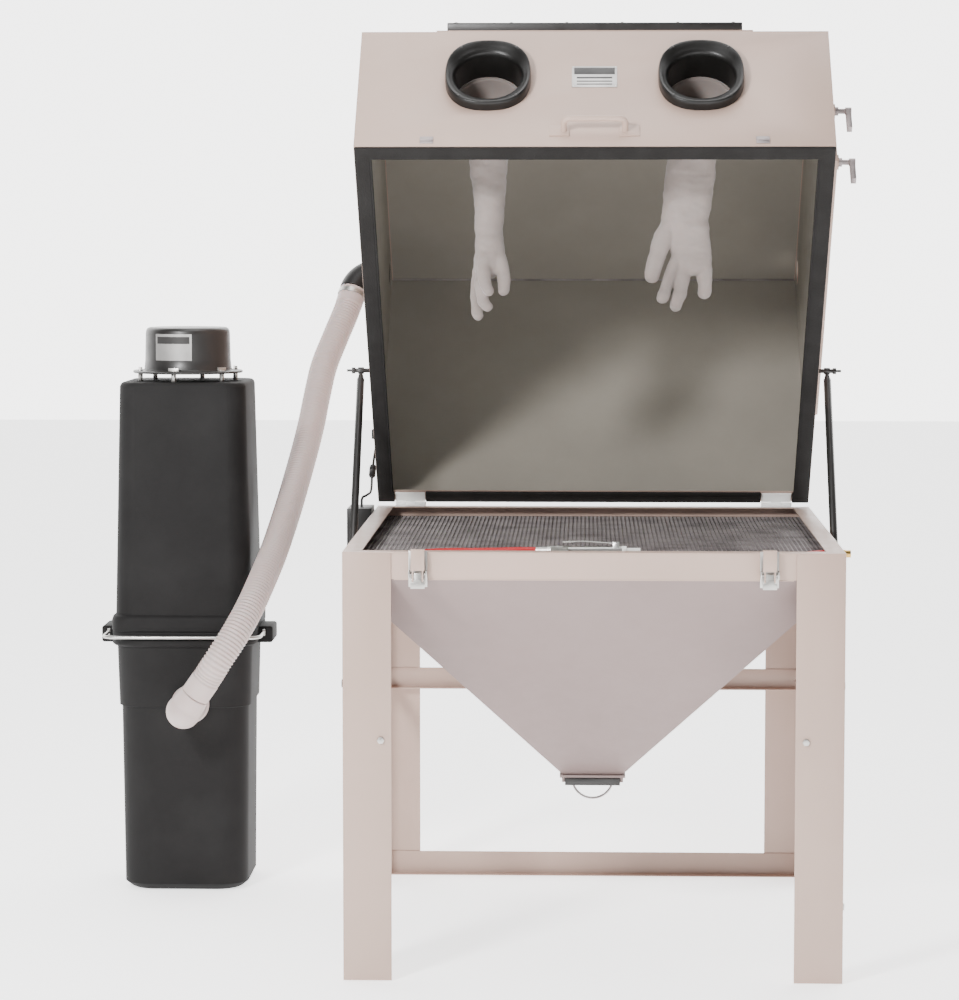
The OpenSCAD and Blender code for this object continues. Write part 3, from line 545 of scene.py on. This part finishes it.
def smooth_line(points, steps):
    """Points on a smooth curve through the given ones."""
    points = [Vector(p) for p in points]
    line = []
    for i in range(len(points) - 1):
        before = points[max(i - 1, 0)]
        start, end = points[i], points[i + 1]
        after = points[min(i + 2, len(points) - 1)]
        for k in range(steps):
            t = k / steps
            line.append(0.5 * ((2 * start) + (end - before) * t
                               + (2 * before - 5 * start + 4 * end - after) * t ** 2
                               + (3 * start - before - 3 * end + after) * t ** 3))
    line.append(points[-1])
    return line


def spaced(line, gap):
    """The same line with its points evenly spaced."""
    points = [line[0]]
    left = gap
    for start, end in zip(line, line[1:]):
        span = (end - start).length
        done = 0.0
        while span - done >= left:
            done += left
            points.append(start.lerp(end, done / span))
            left = gap
        left -= span - done
    if (points[-1] - line[-1]).length > gap * 0.3:
        points.append(line[-1])
    else:
        points[-1] = line[-1]
    return points


def line_length(line):
    return sum((end - start).length for start, end in zip(line, line[1:]))


def ring_of(shape, sides, place_at):
    """A ring of vertices; place_at gives the place at each angle round it."""
    return [shape.verts.new(place_at(2 * math.pi * k / sides)) for k in range(sides)]


def skin(shape, rings):
    """Faces between each ring and the next."""
    for first, second in zip(rings, rings[1:]):
        for k in range(len(first)):
            after = (k + 1) % len(first)
            shape.faces.new((first[k], first[after], second[after], second[k]))


def piece_from(shape, name):
    """The drawn faces as an object of their own, with their normals outward."""
    bmesh.ops.recalc_face_normals(shape, faces=shape.faces[:])
    mesh = bpy.data.meshes.new(name)
    shape.to_mesh(mesh)
    shape.free()
    piece = bpy.data.objects.new(name, mesh)
    bpy.context.scene.collection.objects.link(piece)
    return piece


def heading_at(line, i):
    """Direction of a line at one of its points, from the point before to the one after."""
    before, after = line[max(i - 1, 0)], line[min(i + 1, len(line) - 1)]
    return (Vector(after[:3]) - Vector(before[:3])).normalized()


def loft(line, radius_at, sides, aside):
    """A capped tube along a line; radius_at gives its radius at a distance from its start."""
    shape = bmesh.new()
    rings = []
    along = 0.0
    for i, point in enumerate(line):
        if i:
            along += (point - line[i - 1]).length
        heading = heading_at(line, i)
        side = heading.cross(Vector(aside)).normalized()
        up = side.cross(heading)
        reach = radius_at(along)
        rings.append(ring_of(shape, sides, lambda angle: point + (
            side * math.cos(angle) + up * math.sin(angle)) * reach))
    skin(shape, rings)
    shape.faces.new(list(reversed(rings[0])))
    shape.faces.new(rings[-1])
    return piece_from(shape, "tube")


def refined(node, width, material=None, segments=2):
    """A merged copy of a CAD node with its sharp edges broken, shown in the node's place."""
    source = frame["nodes"][node]
    piece = bpy.data.objects.new(node + "_made", source.data.copy())
    bpy.context.scene.collection.objects.link(piece)
    pick(piece)
    bpy.ops.object.mode_set(mode="EDIT")
    bpy.ops.mesh.select_all(action="SELECT")
    bpy.ops.mesh.remove_doubles(threshold=0.00002)
    bpy.ops.mesh.dissolve_limited(angle_limit=math.radians(0.4))
    bpy.ops.object.mode_set(mode="OBJECT")
    round_edges(piece, width, segments)
    return settle(piece, node + "_made", source["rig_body"], SLOTS[node], material, (node,))


# ---------- Cords: the dust hose, the air hose and the lamp's cable ----------

# Points each cord runs through, in the cabinet's own frame, in millimetres.
DUST_ROUTE = [
    (-627, 1042, 1447), (-642, 1010, 1396), (-667, 952, 1328), (-691, 885, 1257), (-704, 826, 1185),
    (-714, 765, 1115), (-725, 700, 1053), (-737, 634, 994), (-750, 560, 932), (-764, 480, 872),
    (-778, 400, 818), (-796, 320, 764), (-818, 250, 708), (-848, 200, 650), (-887, 173, 588),
    (-914, 178, 546), (-943, 185, 504.5),
]
AIR_ROUTE = [
    (-125, -410, 909), (-165, -410, 909), (-210, -407, 907.5), (-260, -405, 906.5),
    (-305, -408, 906.5), (-345, -420, 906.5), (-372, -445, 906.5), (-382, -478, 906.5),
    (-370, -512, 906.5), (-338, -534, 906.5), (-295, -543, 906.5), (-230, -545, 906.5),
    (-150, -545, 906.5),
    (-50, -545, 906.5), (50, -545, 906.5), (150, -545, 906.5), (250, -543, 906.5),
    (330, -536, 906.5), (395, -518, 906.5), (436, -494, 907), (466, -468, 908), (490, -455, 909),
    (512, -455, 909),
]
CABLE_ROUTE = [
    (-543, 664, 1083), (-543, 663, 1068), (-546, 652, 1046), (-548, 638, 1027), (-549, 618, 1008),
    (-549, 595, 992), (-548, 570, 979), (-547, 545, 970), (-547, 520, 964), (-548, 495, 961),
    (-551, 470, 960), (-555, 448, 958), (-560, 428, 957), (-562, 417, 951), (-562, 415, 944),
    (-562, 415, 935),
]
DUST_HOSE_R = 0.035
RIB_PITCH = 0.0088
RIB_DEPTH = 0.0032
CUFF = 0.045


def make_dust_hose():
    """Ribbed vacuum hose: a rib and groove every few millimetres, a plain cuff at each end."""
    line = spaced(smooth_line([base_point(*p) for p in DUST_ROUTE], 12), RIB_PITCH / 4)
    length = line_length(line)

    def rib(along):
        if along < CUFF or along > length - CUFF:
            return DUST_HOSE_R
        phase = 2 * math.pi * (along - CUFF) / RIB_PITCH
        return DUST_HOSE_R - RIB_DEPTH / 2 + RIB_DEPTH / 2 * math.cos(phase)

    hose = loft(line, rib, 36, (1, 0, 0))
    settle(hose, "dust_hose_ribbed", None, "white_hose", stands_for=("dust_hose",), smooth=60)
    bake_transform(hose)


def make_cord(name, route, radius, node, slot, aside, ends=None):
    """A plain round cord, fixed to the base, or to no body when it is given ends."""
    line = spaced(smooth_line([base_point(*p) for p in route], 10), radius * 1.2)
    cord = loft(line, lambda along: radius, 20, aside)
    settle(cord, name, None if ends else "base", slot, stands_for=(node,), smooth=60)
    if ends:
        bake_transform(cord)


def make_cords():
    make_dust_hose()
    make_cord("air_hose_red", AIR_ROUTE, 0.008, "gun_hose", "red_hose", (0, 0, 1))
    make_cord("lamp_cable_black", CABLE_ROUTE, 0.003, "lamp_cable", "cable_rubber", (1, 0, 0),
              ends=((-562, 417, 951), (-543, 664, 1075)))


# ---------- Sheet metal and hardware taken over from the frame ----------

def take_over_nodes():
    """CAD nodes whose shape is right: a copy with broken edges and its finish."""
    fine, plain, soft = 0.4 * MM, 0.8 * MM, 1.6 * MM
    widths = {
        plain: ["base_tub", "leg_front_left", "leg_front_right", "leg_rear_left",
                "leg_rear_right", "frame_rails", "grate_ledges", "cleanout_collar", "hopper",
                "side_door", "hood_brackets", "spring_brackets", "inlet_vent"],
        fine: ["hinge_pins", "hinge_base_leaves", "hinge_hood_leaves", "latch_bases",
               "latch_lever_left", "latch_lever_right", "latch_claw_left", "latch_claw_right",
               "frame_bolts", "air_fitting", "cleanout_slide", "door_hinge", "cap_screws",
               "gun_nozzle"],
        soft: ["gun_body", "gun_trigger", "spring_rod_left", "spring_rod_right",
               "door_handle_upper", "door_handle_lower", "vac_motor", "cable_gland",
               "junction_box", "lamp"],
    }
    special = {"hinge_base_leaves": WHITE_ZINC, "hinge_hood_leaves": WHITE_ZINC,
               "hood_brackets": GRATE_STEEL, "door_handle_upper": GRATE_STEEL,
               "door_handle_lower": GRATE_STEEL}
    for width, nodes in widths.items():
        for node in nodes:
            refined(node, width, special.get(node))
    for node in ("spring_tube_left", "spring_tube_right"):
        refined(node, soft, DARK_PAINT)
    refined("window_frame", 2.5 * MM, DARK_PAINT, segments=3)
    refined("hood_gasket", 2.5 * MM, segments=3)
    for node in ("pull_handle", "bin_bail", "window_glass", "filter_cartridge"):
        refined(node, 0.3 * MM)
    refined("cleanout_bail", 0.3 * MM, GRATE_STEEL)


HEM = 0.004


def inside_hood(point):
    """True for a point in the hood's own frame that lies within its sheet outline."""
    roof = HOOD_TOP
    if point.y < SLOPE_Y:
        rise = (HOOD_TOP - FACE_TOP) / (SLOPE_Y - HOOD_FRONT)
        roof = FACE_TOP + (point.y - HOOD_FRONT) * rise
    return (abs(point.x) < HALF_W and HOOD_FRONT < point.y < HOOD_BACK
            and HEM < point.z < roof)


def make_hood_shell():
    """The folded hood, parted into its outside and the inside faces the blasting reaches, which
    take a darker, greyer copy of the paint: painted shade, with a stronger drift of tone for blast
    dust.
    """
    outside = refined("hood_shell", 0.4 * MM)
    to_hood = HOOD.inverted()
    turn = to_hood.to_3x3()
    pick(outside)
    bpy.ops.object.mode_set(mode="EDIT")
    bpy.ops.mesh.select_all(action="DESELECT")
    shape = bmesh.from_edit_mesh(outside.data)
    for face in shape.faces:
        ahead = to_hood @ face.calc_center_median() + turn @ face.normal * 0.01
        face.select = inside_hood(ahead)
    bmesh.update_edit_mesh(outside.data)
    bpy.ops.mesh.separate(type="SELECTED")
    bpy.ops.object.mode_set(mode="OBJECT")
    inside = [piece for piece in bpy.context.selected_objects if piece is not outside][0]
    inside.name = "hood_inside"
    inside.data.materials.clear()
    inside.data.materials.append(INSIDE_PAINT_DUST_AND_SHADE)


# ---------- Grate ----------

BORDER = 0.016
BAR_PITCH = 0.0098
HALF_BAR = 0.0011
ROD_PITCH = 0.0196
HALF_ROD = 0.0017


def repeated(piece, count, step):
    apply_modifier(piece, "ARRAY", count=count, use_relative_offset=False,
                   use_constant_offset=True, constant_offset_displace=step)


def make_grate():
    """Bar grating: a flat border, fine bars from front to back, and cross rods under them."""
    low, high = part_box("grate")
    left, right = low.x + BORDER, high.x - BORDER
    front, back = low.y + BORDER, high.y - BORDER
    border = [
        block((low.x, low.y, low.z), (left, high.y, high.z), 0.0006),
        block((right, low.y, low.z), (high.x, high.y, high.z), 0.0006),
        block((left, low.y, low.z), (right, front, high.z), 0.0006),
        block((left, back, low.z), (right, high.y, high.z), 0.0006),
    ]
    bars = int((right - left) / BAR_PITCH)
    step = (right - left) / bars
    bar = block((left + step - HALF_BAR, front, low.z + 0.002),
                (left + step + HALF_BAR, back, high.z))
    repeated(bar, bars - 1, (step, 0, 0))
    rods = int((back - front) / ROD_PITCH)
    gap = (back - front) / rods
    rod = block((left, front + gap - HALF_ROD, low.z + 0.0005),
                (right, front + gap + HALF_ROD, high.z - (high.z - low.z) * 0.1))
    repeated(rod, rods - 1, (0, gap, 0))
    settle(join(border + [bar, rod]), "bar_grate", "base", "grate_steel",
           stands_for=("grate",), smooth=0)


# ---------- Dust collector ----------

BIN = base_point(-993, 494, 0)
BIN_CORNER = 0.056


def bin_stack(sections, wall=None):
    """A round-cornered moulding through (width, height) sections, open on top if it has a wall."""
    width, height = sections[0]
    bpy.ops.object.select_all(action="DESELECT")
    bpy.ops.mesh.primitive_plane_add(size=width, location=(0, 0, height))
    piece = bpy.context.object
    bpy.ops.object.transform_apply(location=True, rotation=True, scale=True)
    bpy.ops.object.mode_set(mode="EDIT")
    bpy.ops.mesh.select_all(action="SELECT")
    bpy.ops.mesh.bevel(offset=BIN_CORNER, segments=10, affect="VERTICES")
    for next_width, next_height in sections[1:]:
        rise = (0, 0, next_height - height)
        bpy.ops.mesh.extrude_region_move(TRANSFORM_OT_translate={"value": rise})
        ratio = next_width / width
        bpy.ops.transform.resize(value=(ratio, ratio, 1), center_override=(0, 0, next_height))
        width, height = next_width, next_height
    if wall:
        bpy.ops.mesh.delete(type="FACE")
    bpy.ops.mesh.select_all(action="SELECT")
    bpy.ops.mesh.normals_make_consistent(inside=False)
    bpy.ops.object.mode_set(mode="OBJECT")
    if wall:
        apply_modifier(piece, "SOLIDIFY", thickness=wall, offset=-1)
    round_edges(piece, 0.0016, 3, 24)
    return piece


def bin_lobe(side):
    """Carrying lobe at the rim: deep beside the bin and thin at its tip."""
    lobe = block((-0.5, -0.5, -0.5), (0.5, 0.5, 0.5))
    bpy.ops.object.mode_set(mode="EDIT")
    shape = bmesh.from_edit_mesh(lobe.data)
    for face in shape.faces:
        face.select = face.normal.x * side > 0.9
    shape.select_flush_mode()
    bmesh.update_edit_mesh(lobe.data)
    bpy.ops.transform.resize(value=(1, 0.78, 0.42), center_override=(0.5 * side, 0, 0.36))
    bpy.ops.object.mode_set(mode="OBJECT")
    lobe.data.transform(Matrix.Diagonal((0.044, 0.118, 0.040, 1)))
    lobe.data.transform(Matrix.Translation((side * 0.188, 0, 0.618)))
    round_edges(lobe, 0.006, 4)
    return lobe


def make_bins():
    """The lower bin with its lobes, the upper bin, and the motor's cap with its label."""
    lower = bin_stack([(0.262, 0.0), (0.276, 0.004), (0.302, 0.016), (0.311, 0.450),
                       (0.322, 0.452), (0.330, 0.598), (0.345, 0.600), (0.352, 0.604),
                       (0.352, 0.616), (0.346, 0.618), (0.346, 0.621), (0.352, 0.623),
                       (0.352, 0.6365)], wall=0.009)
    settle(join([lower, bin_lobe(-1), bin_lobe(1)]), "bin_lower_made", "base", "bin_plastic",
           stands_for=("bin_lower",), place=Matrix.Translation(BIN), smooth=50)
    upper = bin_stack([(0.350, 0.637), (0.350, 0.662), (0.344, 0.672), (0.331, 0.677),
                       (0.306, 1.228), (0.300, 1.235), (0.292, 1.238)])
    settle(upper, "bin_upper_made", "base", "bin_plastic", stands_for=("bin_upper",),
           place=Matrix.Translation(BIN), smooth=50)
    cap = turned([(0.060, 1.257), (0.132, 1.257), (0.134, 1.2585), (0.134, 1.2615),
                  (0.132, 1.263), (0.109, 1.264), (0.1065, 1.268), (0.1045, 1.290),
                  (0.1030, 1.352), (0.1020, 1.3600), (0.0990, 1.3655), (0.0940, 1.368),
                  (0.080, 1.3682), (0.030, 1.3682), (0.0, 1.3682)], BIN, (0, 0, 1), 72)
    inside = turned([(0.060, 1.2575), (0.060, 1.2605), (0.092, 1.2605), (0.092, 1.360),
                     (0.0, 1.360)], BIN, (0, 0, 1), 48)
    settle(join([cap, inside]), "motor_cap_made", "base", "motor_metal", DARK_PAINT,
           stands_for=("motor_cap",), smooth=35)
    plate = wrapped_plate(BIN + Vector((0, 0, 1.3215)), 0.1046, 0.0012, 0.064, -104, 26)
    settle(plate, "cap_label_plate", "base", "zinc", PLATE, smooth=35)
    band = wrapped_plate(BIN + Vector((0, 0, 1.3385)), 0.1058, 0.0004, 0.017, -104, 23)
    settle(band, "cap_label_band", "base", "zinc", DARK_PAINT, smooth=35)


def wrapped_plate(centre, radius, thick, height, facing, half_angle):
    """A thin plate bent round an upright cylinder, facing the given direction in degrees."""
    bpy.ops.object.select_all(action="DESELECT")
    bpy.ops.mesh.primitive_grid_add(x_subdivisions=24, y_subdivisions=2, size=1)
    plate = bpy.context.object
    for vertex in plate.data.vertices:
        angle = math.radians(facing + vertex.co.x * 2 * half_angle)
        around = Vector((math.cos(angle), math.sin(angle), 0)) * radius
        vertex.co = centre + around + Vector((0, 0, vertex.co.y * height))
    apply_modifier(plate, "SOLIDIFY", thickness=thick, offset=1)
    return plate


def make_elbows():
    """The hose's smooth end on the bin, and the exhaust elbow on the hood's wall."""
    wall = BIN + Vector((0.020, -0.163, 0.461))
    hose_end = base_point(*DUST_ROUTE[-1])
    knuckle = wall + Vector((0, -0.135, 0.002))
    lean = hose_end - knuckle
    spout = turned([(0, 0.020), (0.0298, 0.020), (0.0298, -0.002), (0.0465, -0.002),
                    (0.0465, -0.009), (0.0410, -0.012), (0.0405, -0.138), (0, -0.138)],
                   wall, (0, 1, 0), 40)
    arm = turned([(0, 0), (0.0395, 0), (0.0385, lean.length * 0.6), (0.0360, lean.length),
                  (0, lean.length)], knuckle, lean, 40)
    bpy.ops.mesh.primitive_uv_sphere_add(segments=40, ring_count=24, radius=0.0420,
                                         location=knuckle)
    elbow = join([spout, arm, bpy.context.object])
    pick(elbow)
    bpy.ops.object.transform_apply(location=True, rotation=True, scale=True)
    apply_modifier(elbow, "REMESH", mode="VOXEL", voxel_size=0.002)
    apply_modifier(elbow, "SMOOTH", factor=0.5, iterations=8)
    settle(elbow, "bin_elbow_made", "base", "white_hose", stands_for=("bin_elbow",), smooth=50)
    refined("exhaust_elbow", 1.2 * MM, BLACK_PLASTIC)
    bend = Vector(DUST_ROUTE[1]) - Vector(DUST_ROUTE[0])
    mouth = base_point(*DUST_ROUTE[0]) + bend.normalized() * 0.014
    clamp = turned([(0.0352, -0.006), (0.0366, -0.006), (0.0366, 0.006), (0.0352, 0.006)],
                   mouth, bend, 40)
    settle(clamp, "hose_clamp_top", "hood", "zinc", smooth=40)


# ---------- Arm ports ----------

def port_outline(angle):
    """Reach of the port's D-shaped rim at an angle from its centre."""
    across, up = 0.0965, 0.1085
    fullness = 2.45
    return (abs(math.cos(angle) / across) ** fullness
            + abs(math.sin(angle) / up) ** fullness) ** (-1 / fullness)


def port_reach(mix, angle):
    """Reach between the round collar, at mix 0, and the D-shaped rim, at mix 1."""
    return COLLAR_R + (port_outline(angle) - COLLAR_R) * mix


def make_arm_ring(name, side):
    """Moulded ring: a rolled D-shaped rim, a dished face and a collar through the wall."""
    face = [(1, 0.0), (1.0, 0.010), (0.985, 0.017), (0.94, 0.022), (0.86, 0.0238),
            (0.72, 0.0225), (0.52, 0.0175), (0.30, 0.0135), (0.12, 0.0105), (0.03, 0.006)]
    collar = [(0.0762, -0.002), (0.0762, -0.071), (0.0832, -0.072), (0.0838, -0.001)]
    shape = bmesh.new()
    rings = [ring_of(shape, 96, lambda angle: Vector((math.cos(angle), 0, math.sin(angle)))
                     * port_reach(mix, angle) + Vector((0, -height, 0)))
             for mix, height in face]
    rings += [ring_of(shape, 96, lambda angle: (radius * math.cos(angle), -height,
                                                radius * math.sin(angle)))
              for radius, height in collar]
    skin(shape, rings + rings[:1])
    place = HOOD @ Matrix.Translation((side * PORT_X, HOOD_FRONT, PORT_Z))
    settle(piece_from(shape, name), name + "_made", "hood", "port_rubber",
           stands_for=(name,), place=place, smooth=50)
    screws = []
    for turn in (52, 128, 232, 308):
        angle = math.radians(turn)
        reach = port_reach(0.80, angle)
        centre = (reach * math.cos(angle), -0.0228, reach * math.sin(angle))
        screws.append(turned([(0, 0.0018), (0.0022, 0.0016), (0.0038, 0.0006),
                              (0.0042, -0.001)], centre, (0, -1, 0), 16))
    settle(join(screws), name + "_screws", "hood", "dark_steel", place=place, smooth=40)


# ---------- Gloves ----------

def limb(stations):
    """A soft limb through (x, y, z, half width, half depth) stations, with a round tip."""
    line = smooth_line(stations, 6)
    tip = line[-1]
    heading = heading_at(line, len(line) - 1)
    for angle in (25, 48, 66, 80):
        along = math.sin(math.radians(angle)) * min(tip[3], tip[4])
        shrink = math.cos(math.radians(angle))
        centre = Vector(tip[:3]) + heading * along
        line.append(Vector((*centre, tip[3] * shrink, tip[4] * shrink)))
    shape = bmesh.new()
    rings = []
    for i, station in enumerate(line):
        ahead = heading_at(line, i)
        across = ahead.cross(Vector((0, 1, 0))).normalized()
        deep = across.cross(ahead)
        rings.append(ring_of(shape, 28, lambda angle: base_point(*(
            Vector(station[:3]) + across * math.cos(angle) * station[3]
            + deep * math.sin(angle) * station[4]))))
    skin(shape, rings)
    shape.faces.new(rings[-1])
    shape.faces.new(list(reversed(rings[0])))
    return piece_from(shape, "limb")


def make_sleeve(side, wrist_x):
    """The open sleeve: clamped inside the port's collar, necking down to the wrist."""
    mouth = HOOD @ Vector((side * PORT_X, HOOD_FRONT + 0.004, PORT_Z))
    inward = (HOOD.to_3x3() @ Vector((0, 1, 0))).normalized()
    centres = [mouth + inward * 0.058, mouth + inward * 0.070, mouth + inward * 0.096,
               base_point(side * 240, 14, 1826), base_point(wrist_x, 19, 1668)]
    radii = [0.0757, 0.0752, 0.0665, 0.050, 0.022]
    shape = bmesh.new()
    line = smooth_line([Vector((*(c - CABINET), r)) for c, r in zip(centres, radii)], 9)
    across = Vector((1, 0, 0))
    rings = []
    for i, station in enumerate(line):
        deep = across.cross(heading_at(line, i)).normalized()
        share = i / (len(line) - 1)

        def place_at(angle):
            fold = 1 + 0.05 * share * math.sin(5 * angle + side + 6 * share) * max(0, share - 0.25)
            offset = (across * math.cos(angle) + deep * math.sin(angle)) * station[3] * fold
            return CABINET + Vector(station[:3]) + offset

        rings.append(ring_of(shape, 48, place_at))
    skin(shape, rings)
    sleeve = piece_from(shape, "sleeve")
    apply_modifier(sleeve, "SOLIDIFY", thickness=0.0016, offset=0)
    return sleeve


def make_glove(name, side, wrist_x, limbs):
    """A dipped glove: its hand is fused from limbs, then softened and creased."""
    hand = join([limb(stations) for stations in limbs])
    apply_modifier(hand, "REMESH", mode="VOXEL", voxel_size=0.0024)
    apply_modifier(hand, "SMOOTH", factor=0.6, iterations=5)
    for vertex in hand.data.vertices:
        place = vertex.co * 1000
        crease = noise.noise(Vector((place.x * 0.02, place.y * 0.02, place.z * 0.045)))
        pucker = noise.noise(Vector((place.x * 0.06, place.y * 0.06, place.z * 0.11))
                             + Vector((7, 3, 1)))
        vertex.co += vertex.normal * (0.0026 * crease + 0.0011 * pucker)
    apply_modifier(hand, "SMOOTH", factor=0.5, iterations=2)
    glove = settle(join([hand, make_sleeve(side, wrist_x)]), name + "_made", "hood", "glove_fabric",
                   stands_for=(name,), smooth=60)
    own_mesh(glove)


def make_gloves():
    """The gloves hang fingers down: the left seen side on, the right palm on."""
    seen_side_on = [
        [(-240, 17, 1800, 46, 44), (-242, 19, 1752, 44, 41), (-240, 19, 1705, 39, 37),
         (-239, 19, 1661, 35, 34), (-240, 19, 1592, 32, 31), (-238, 19, 1554, 35, 34),
         (-243, 18, 1524, 33, 36)],
        [(-249, 30, 1548, 19, 18), (-262, 36, 1502, 17, 15), (-268, 36, 1455, 15.5, 14),
         (-269, 28, 1420, 13.5, 12), (-264, 22, 1407, 11, 10)],
        [(-248, 12, 1545, 19, 16), (-255, 4, 1502, 17, 14), (-256, -2, 1466, 15, 13),
         (-251, -10, 1440, 13, 12), (-242, -11, 1428, 11, 10)],
        [(-246, 0, 1548, 17, 15), (-250, -14, 1508, 16, 14), (-247, -22, 1482, 14, 13),
         (-239, -25, 1464, 12, 11)],
        [(-224, 10, 1566, 17, 17), (-213, 2, 1530, 16, 15), (-206, -4, 1498, 15.5, 13),
         (-206, -8, 1466, 13.5, 12)],
    ]
    seen_palm_on = [
        [(236, 17, 1800, 47, 44), (222, 19, 1752, 56, 42), (216, 19, 1700, 56, 37),
         (212, 19, 1661, 55, 33), (208, 19, 1618, 53, 30), (219, 19, 1570, 48, 27),
         (227, 19, 1524, 43, 24)],
        [(178, 17, 1622, 22, 20), (160, 10, 1590, 22, 18), (147, 5, 1554, 20, 17),
         (137, 2, 1520, 18, 15), (132, 0, 1497, 16, 14)],
        [(196, 19, 1548, 16, 15), (181, 12, 1518, 15, 14), (168, 4, 1484, 14, 13),
         (157, -4, 1450, 13.5, 12)],
        [(210, 19, 1545, 19, 16), (203, 16, 1510, 18, 15), (198, 12, 1472, 17, 14.5),
         (187, 8, 1430, 14.5, 13)],
        [(244, 20, 1552, 22, 16), (251, 22, 1512, 19, 15), (254, 24, 1480, 17, 13.5),
         (252, 24, 1459, 14.5, 12)],
    ]
    make_glove("glove_left", -1, -241, seen_side_on)
    make_glove("glove_right", 1, 214, seen_palm_on)


# ---------- Plates, screws and seams on the hood ----------

LABEL_BANDS = [(0.046, 0.243, 0.265), (0.040, 0.2285, 0.2335), (0.040, 0.2175, 0.2205),
               (0.040, 0.2075, 0.2105)]
SEAM_X = 0.5308
CORNER_X = 0.5295
LIP_X = 0.497


def make_hood_details():
    """Label plate, lamp diffuser, the folds' weld beads and the seal's lips."""
    plate = block((-0.051, HOOD_FRONT - 0.0014, 0.199), (0.051, HOOD_FRONT, 0.270), 0.0005)
    settle(plate, "hood_label_plate", "hood", "zinc", PLATE, place=HOOD)
    dark = [block((-reach, HOOD_FRONT - 0.0019, low), (reach, HOOD_FRONT - 0.0012, high), 0.0002)
            for reach, low, high in LABEL_BANDS]
    settle(join(dark), "hood_label_bands", "hood", "dark_steel", DARK_PAINT, place=HOOD)
    rivets = [turned([(0, 0.0012), (0.0016, 0.0010), (0.0024, 0.0)],
                     (x, HOOD_FRONT - 0.0014, z), (0, -1, 0), 12)
              for x in (-0.0475, 0.0475) for z in (0.2025, 0.2665)]
    settle(join(rivets), "hood_label_rivets", "hood", "zinc", place=HOOD)
    diffuser = block((-0.238, -0.600, 0.7265), (0.238, -0.530, 0.7285), 0.0006)
    settle(diffuser, "lamp_diffuser", "hood", "lamp_white", GLOW, place=HOOD)
    seams = [wire([(side * SEAM_X, HOOD_BACK - 0.003, HOOD_TOP - 0.0035),
                   (side * SEAM_X, SLOPE_Y, HOOD_TOP - 0.0035),
                   (side * SEAM_X, HOOD_FRONT + 0.0035, FACE_TOP)], 0.0016)
             for side in (-1, 1)]
    settle(join(seams), "hood_weld_beads", "hood", "paint", place=HOOD, smooth=60)
    # A grey metal bead along the hood's inside rear corner: painted shade where the panels meet.
    corner = wire([(side * CORNER_X, HOOD_BACK - 0.004, HOOD_TOP - 0.004) for side in (-1, 1)],
                  0.0024)
    settle(corner, "rear_corner_shade_bead", "hood", "paint_shade", GRATE_STEEL, place=HOOD,
           smooth=60)
    lips = [wire([(side * LIP_X, HOOD_BACK - 0.03, 0.0), (side * LIP_X, HOOD_FRONT + 0.03, 0.0)],
                 0.003) for side in (-1, 1)]
    settle(join(lips), "seal_lips", "hood", "foam_seal", place=HOOD, smooth=60)


def make_window_screws():
    """Button screws round the window's clamp frame."""
    middle_y, middle_z = (HOOD_FRONT + SLOPE_Y) / 2, (FACE_TOP + HOOD_TOP) / 2
    slope = math.atan2(HOOD_TOP - FACE_TOP, SLOPE_Y - HOOD_FRONT)
    sheet = HOOD @ Matrix.Translation((0, middle_y, middle_z)) @ Matrix.Rotation(slope, 4, "X")
    spots = [(x, y) for x in (-0.32, -0.192, -0.064, 0.064, 0.192, 0.32) for y in (-0.2, 0.2)]
    spots += [(x, y) for x in (-0.32, 0.32) for y in (-0.067, 0.067)]
    screws = [turned([(0, 0.0290), (0.0025, 0.0288), (0.0042, 0.0276), (0.0048, 0.0255)],
                     (x, y, 0), (0, 0, 1), 16) for x, y in spots]
    settle(join(screws), "window_screws", "hood", "dark_steel", place=sheet, smooth=40)


# ---------- Details on the base ----------

COUPLER_HEIGHT = 1.006


def make_cable_connector():
    """The dark in-line coupler on the lamp's cable, behind the hood."""
    line = smooth_line([base_point(*p) for p in CABLE_ROUTE], 10)
    spot = min(range(len(line)), key=lambda i: abs(line[i].z - COUPLER_HEIGHT))
    heading = line[spot + 1] - line[spot - 1]
    coupler = turned([(0.0034, -0.020), (0.0075, -0.018), (0.0085, -0.014), (0.0085, -0.001),
                      (0.0078, 0.0), (0.0085, 0.001), (0.0085, 0.014), (0.0075, 0.018),
                      (0.0034, 0.020)], line[spot], heading, 24)
    settle(coupler, "cable_coupler", "base", "cable_rubber", BLACK_PLASTIC, smooth=40)


def make_base_details():
    """Weld beads under the tub's front and back faces, and the filter's pleats."""
    beads = [wire([(-HALF_W + 0.11, y, 0.8645), (HALF_W - 0.11, y, 0.8645)], 0.0015)
             for y in (-HALF_D + 0.0035, HALF_D - 0.0035)]
    settle(join(beads), "tub_weld_beads", "base", "paint", place=BASE, smooth=60)
    pleats = block((0.0925, -0.0009, 0.770), (0.1045, 0.0009, 1.222))
    bpy.ops.object.mode_set(mode="EDIT")
    bpy.ops.mesh.select_all(action="SELECT")
    bpy.ops.mesh.spin(steps=60, dupli=True, angle=2 * math.pi, center=(0, 0, 0), axis=(0, 0, 1))
    bpy.ops.object.mode_set(mode="OBJECT")
    settle(pleats, "filter_pleats", "base", "filter_paper", place=Matrix.Translation(BIN), smooth=0)


# ---------- Everything in its order ----------

add_camera()
add_studio()
make_cords()
take_over_nodes()
make_hood_shell()
make_grate()
make_bins()
make_elbows()
make_arm_ring("arm_ring_left", -1)
make_arm_ring("arm_ring_right", 1)
make_gloves()
make_hood_details()
make_window_screws()
make_cable_connector()
make_base_details()
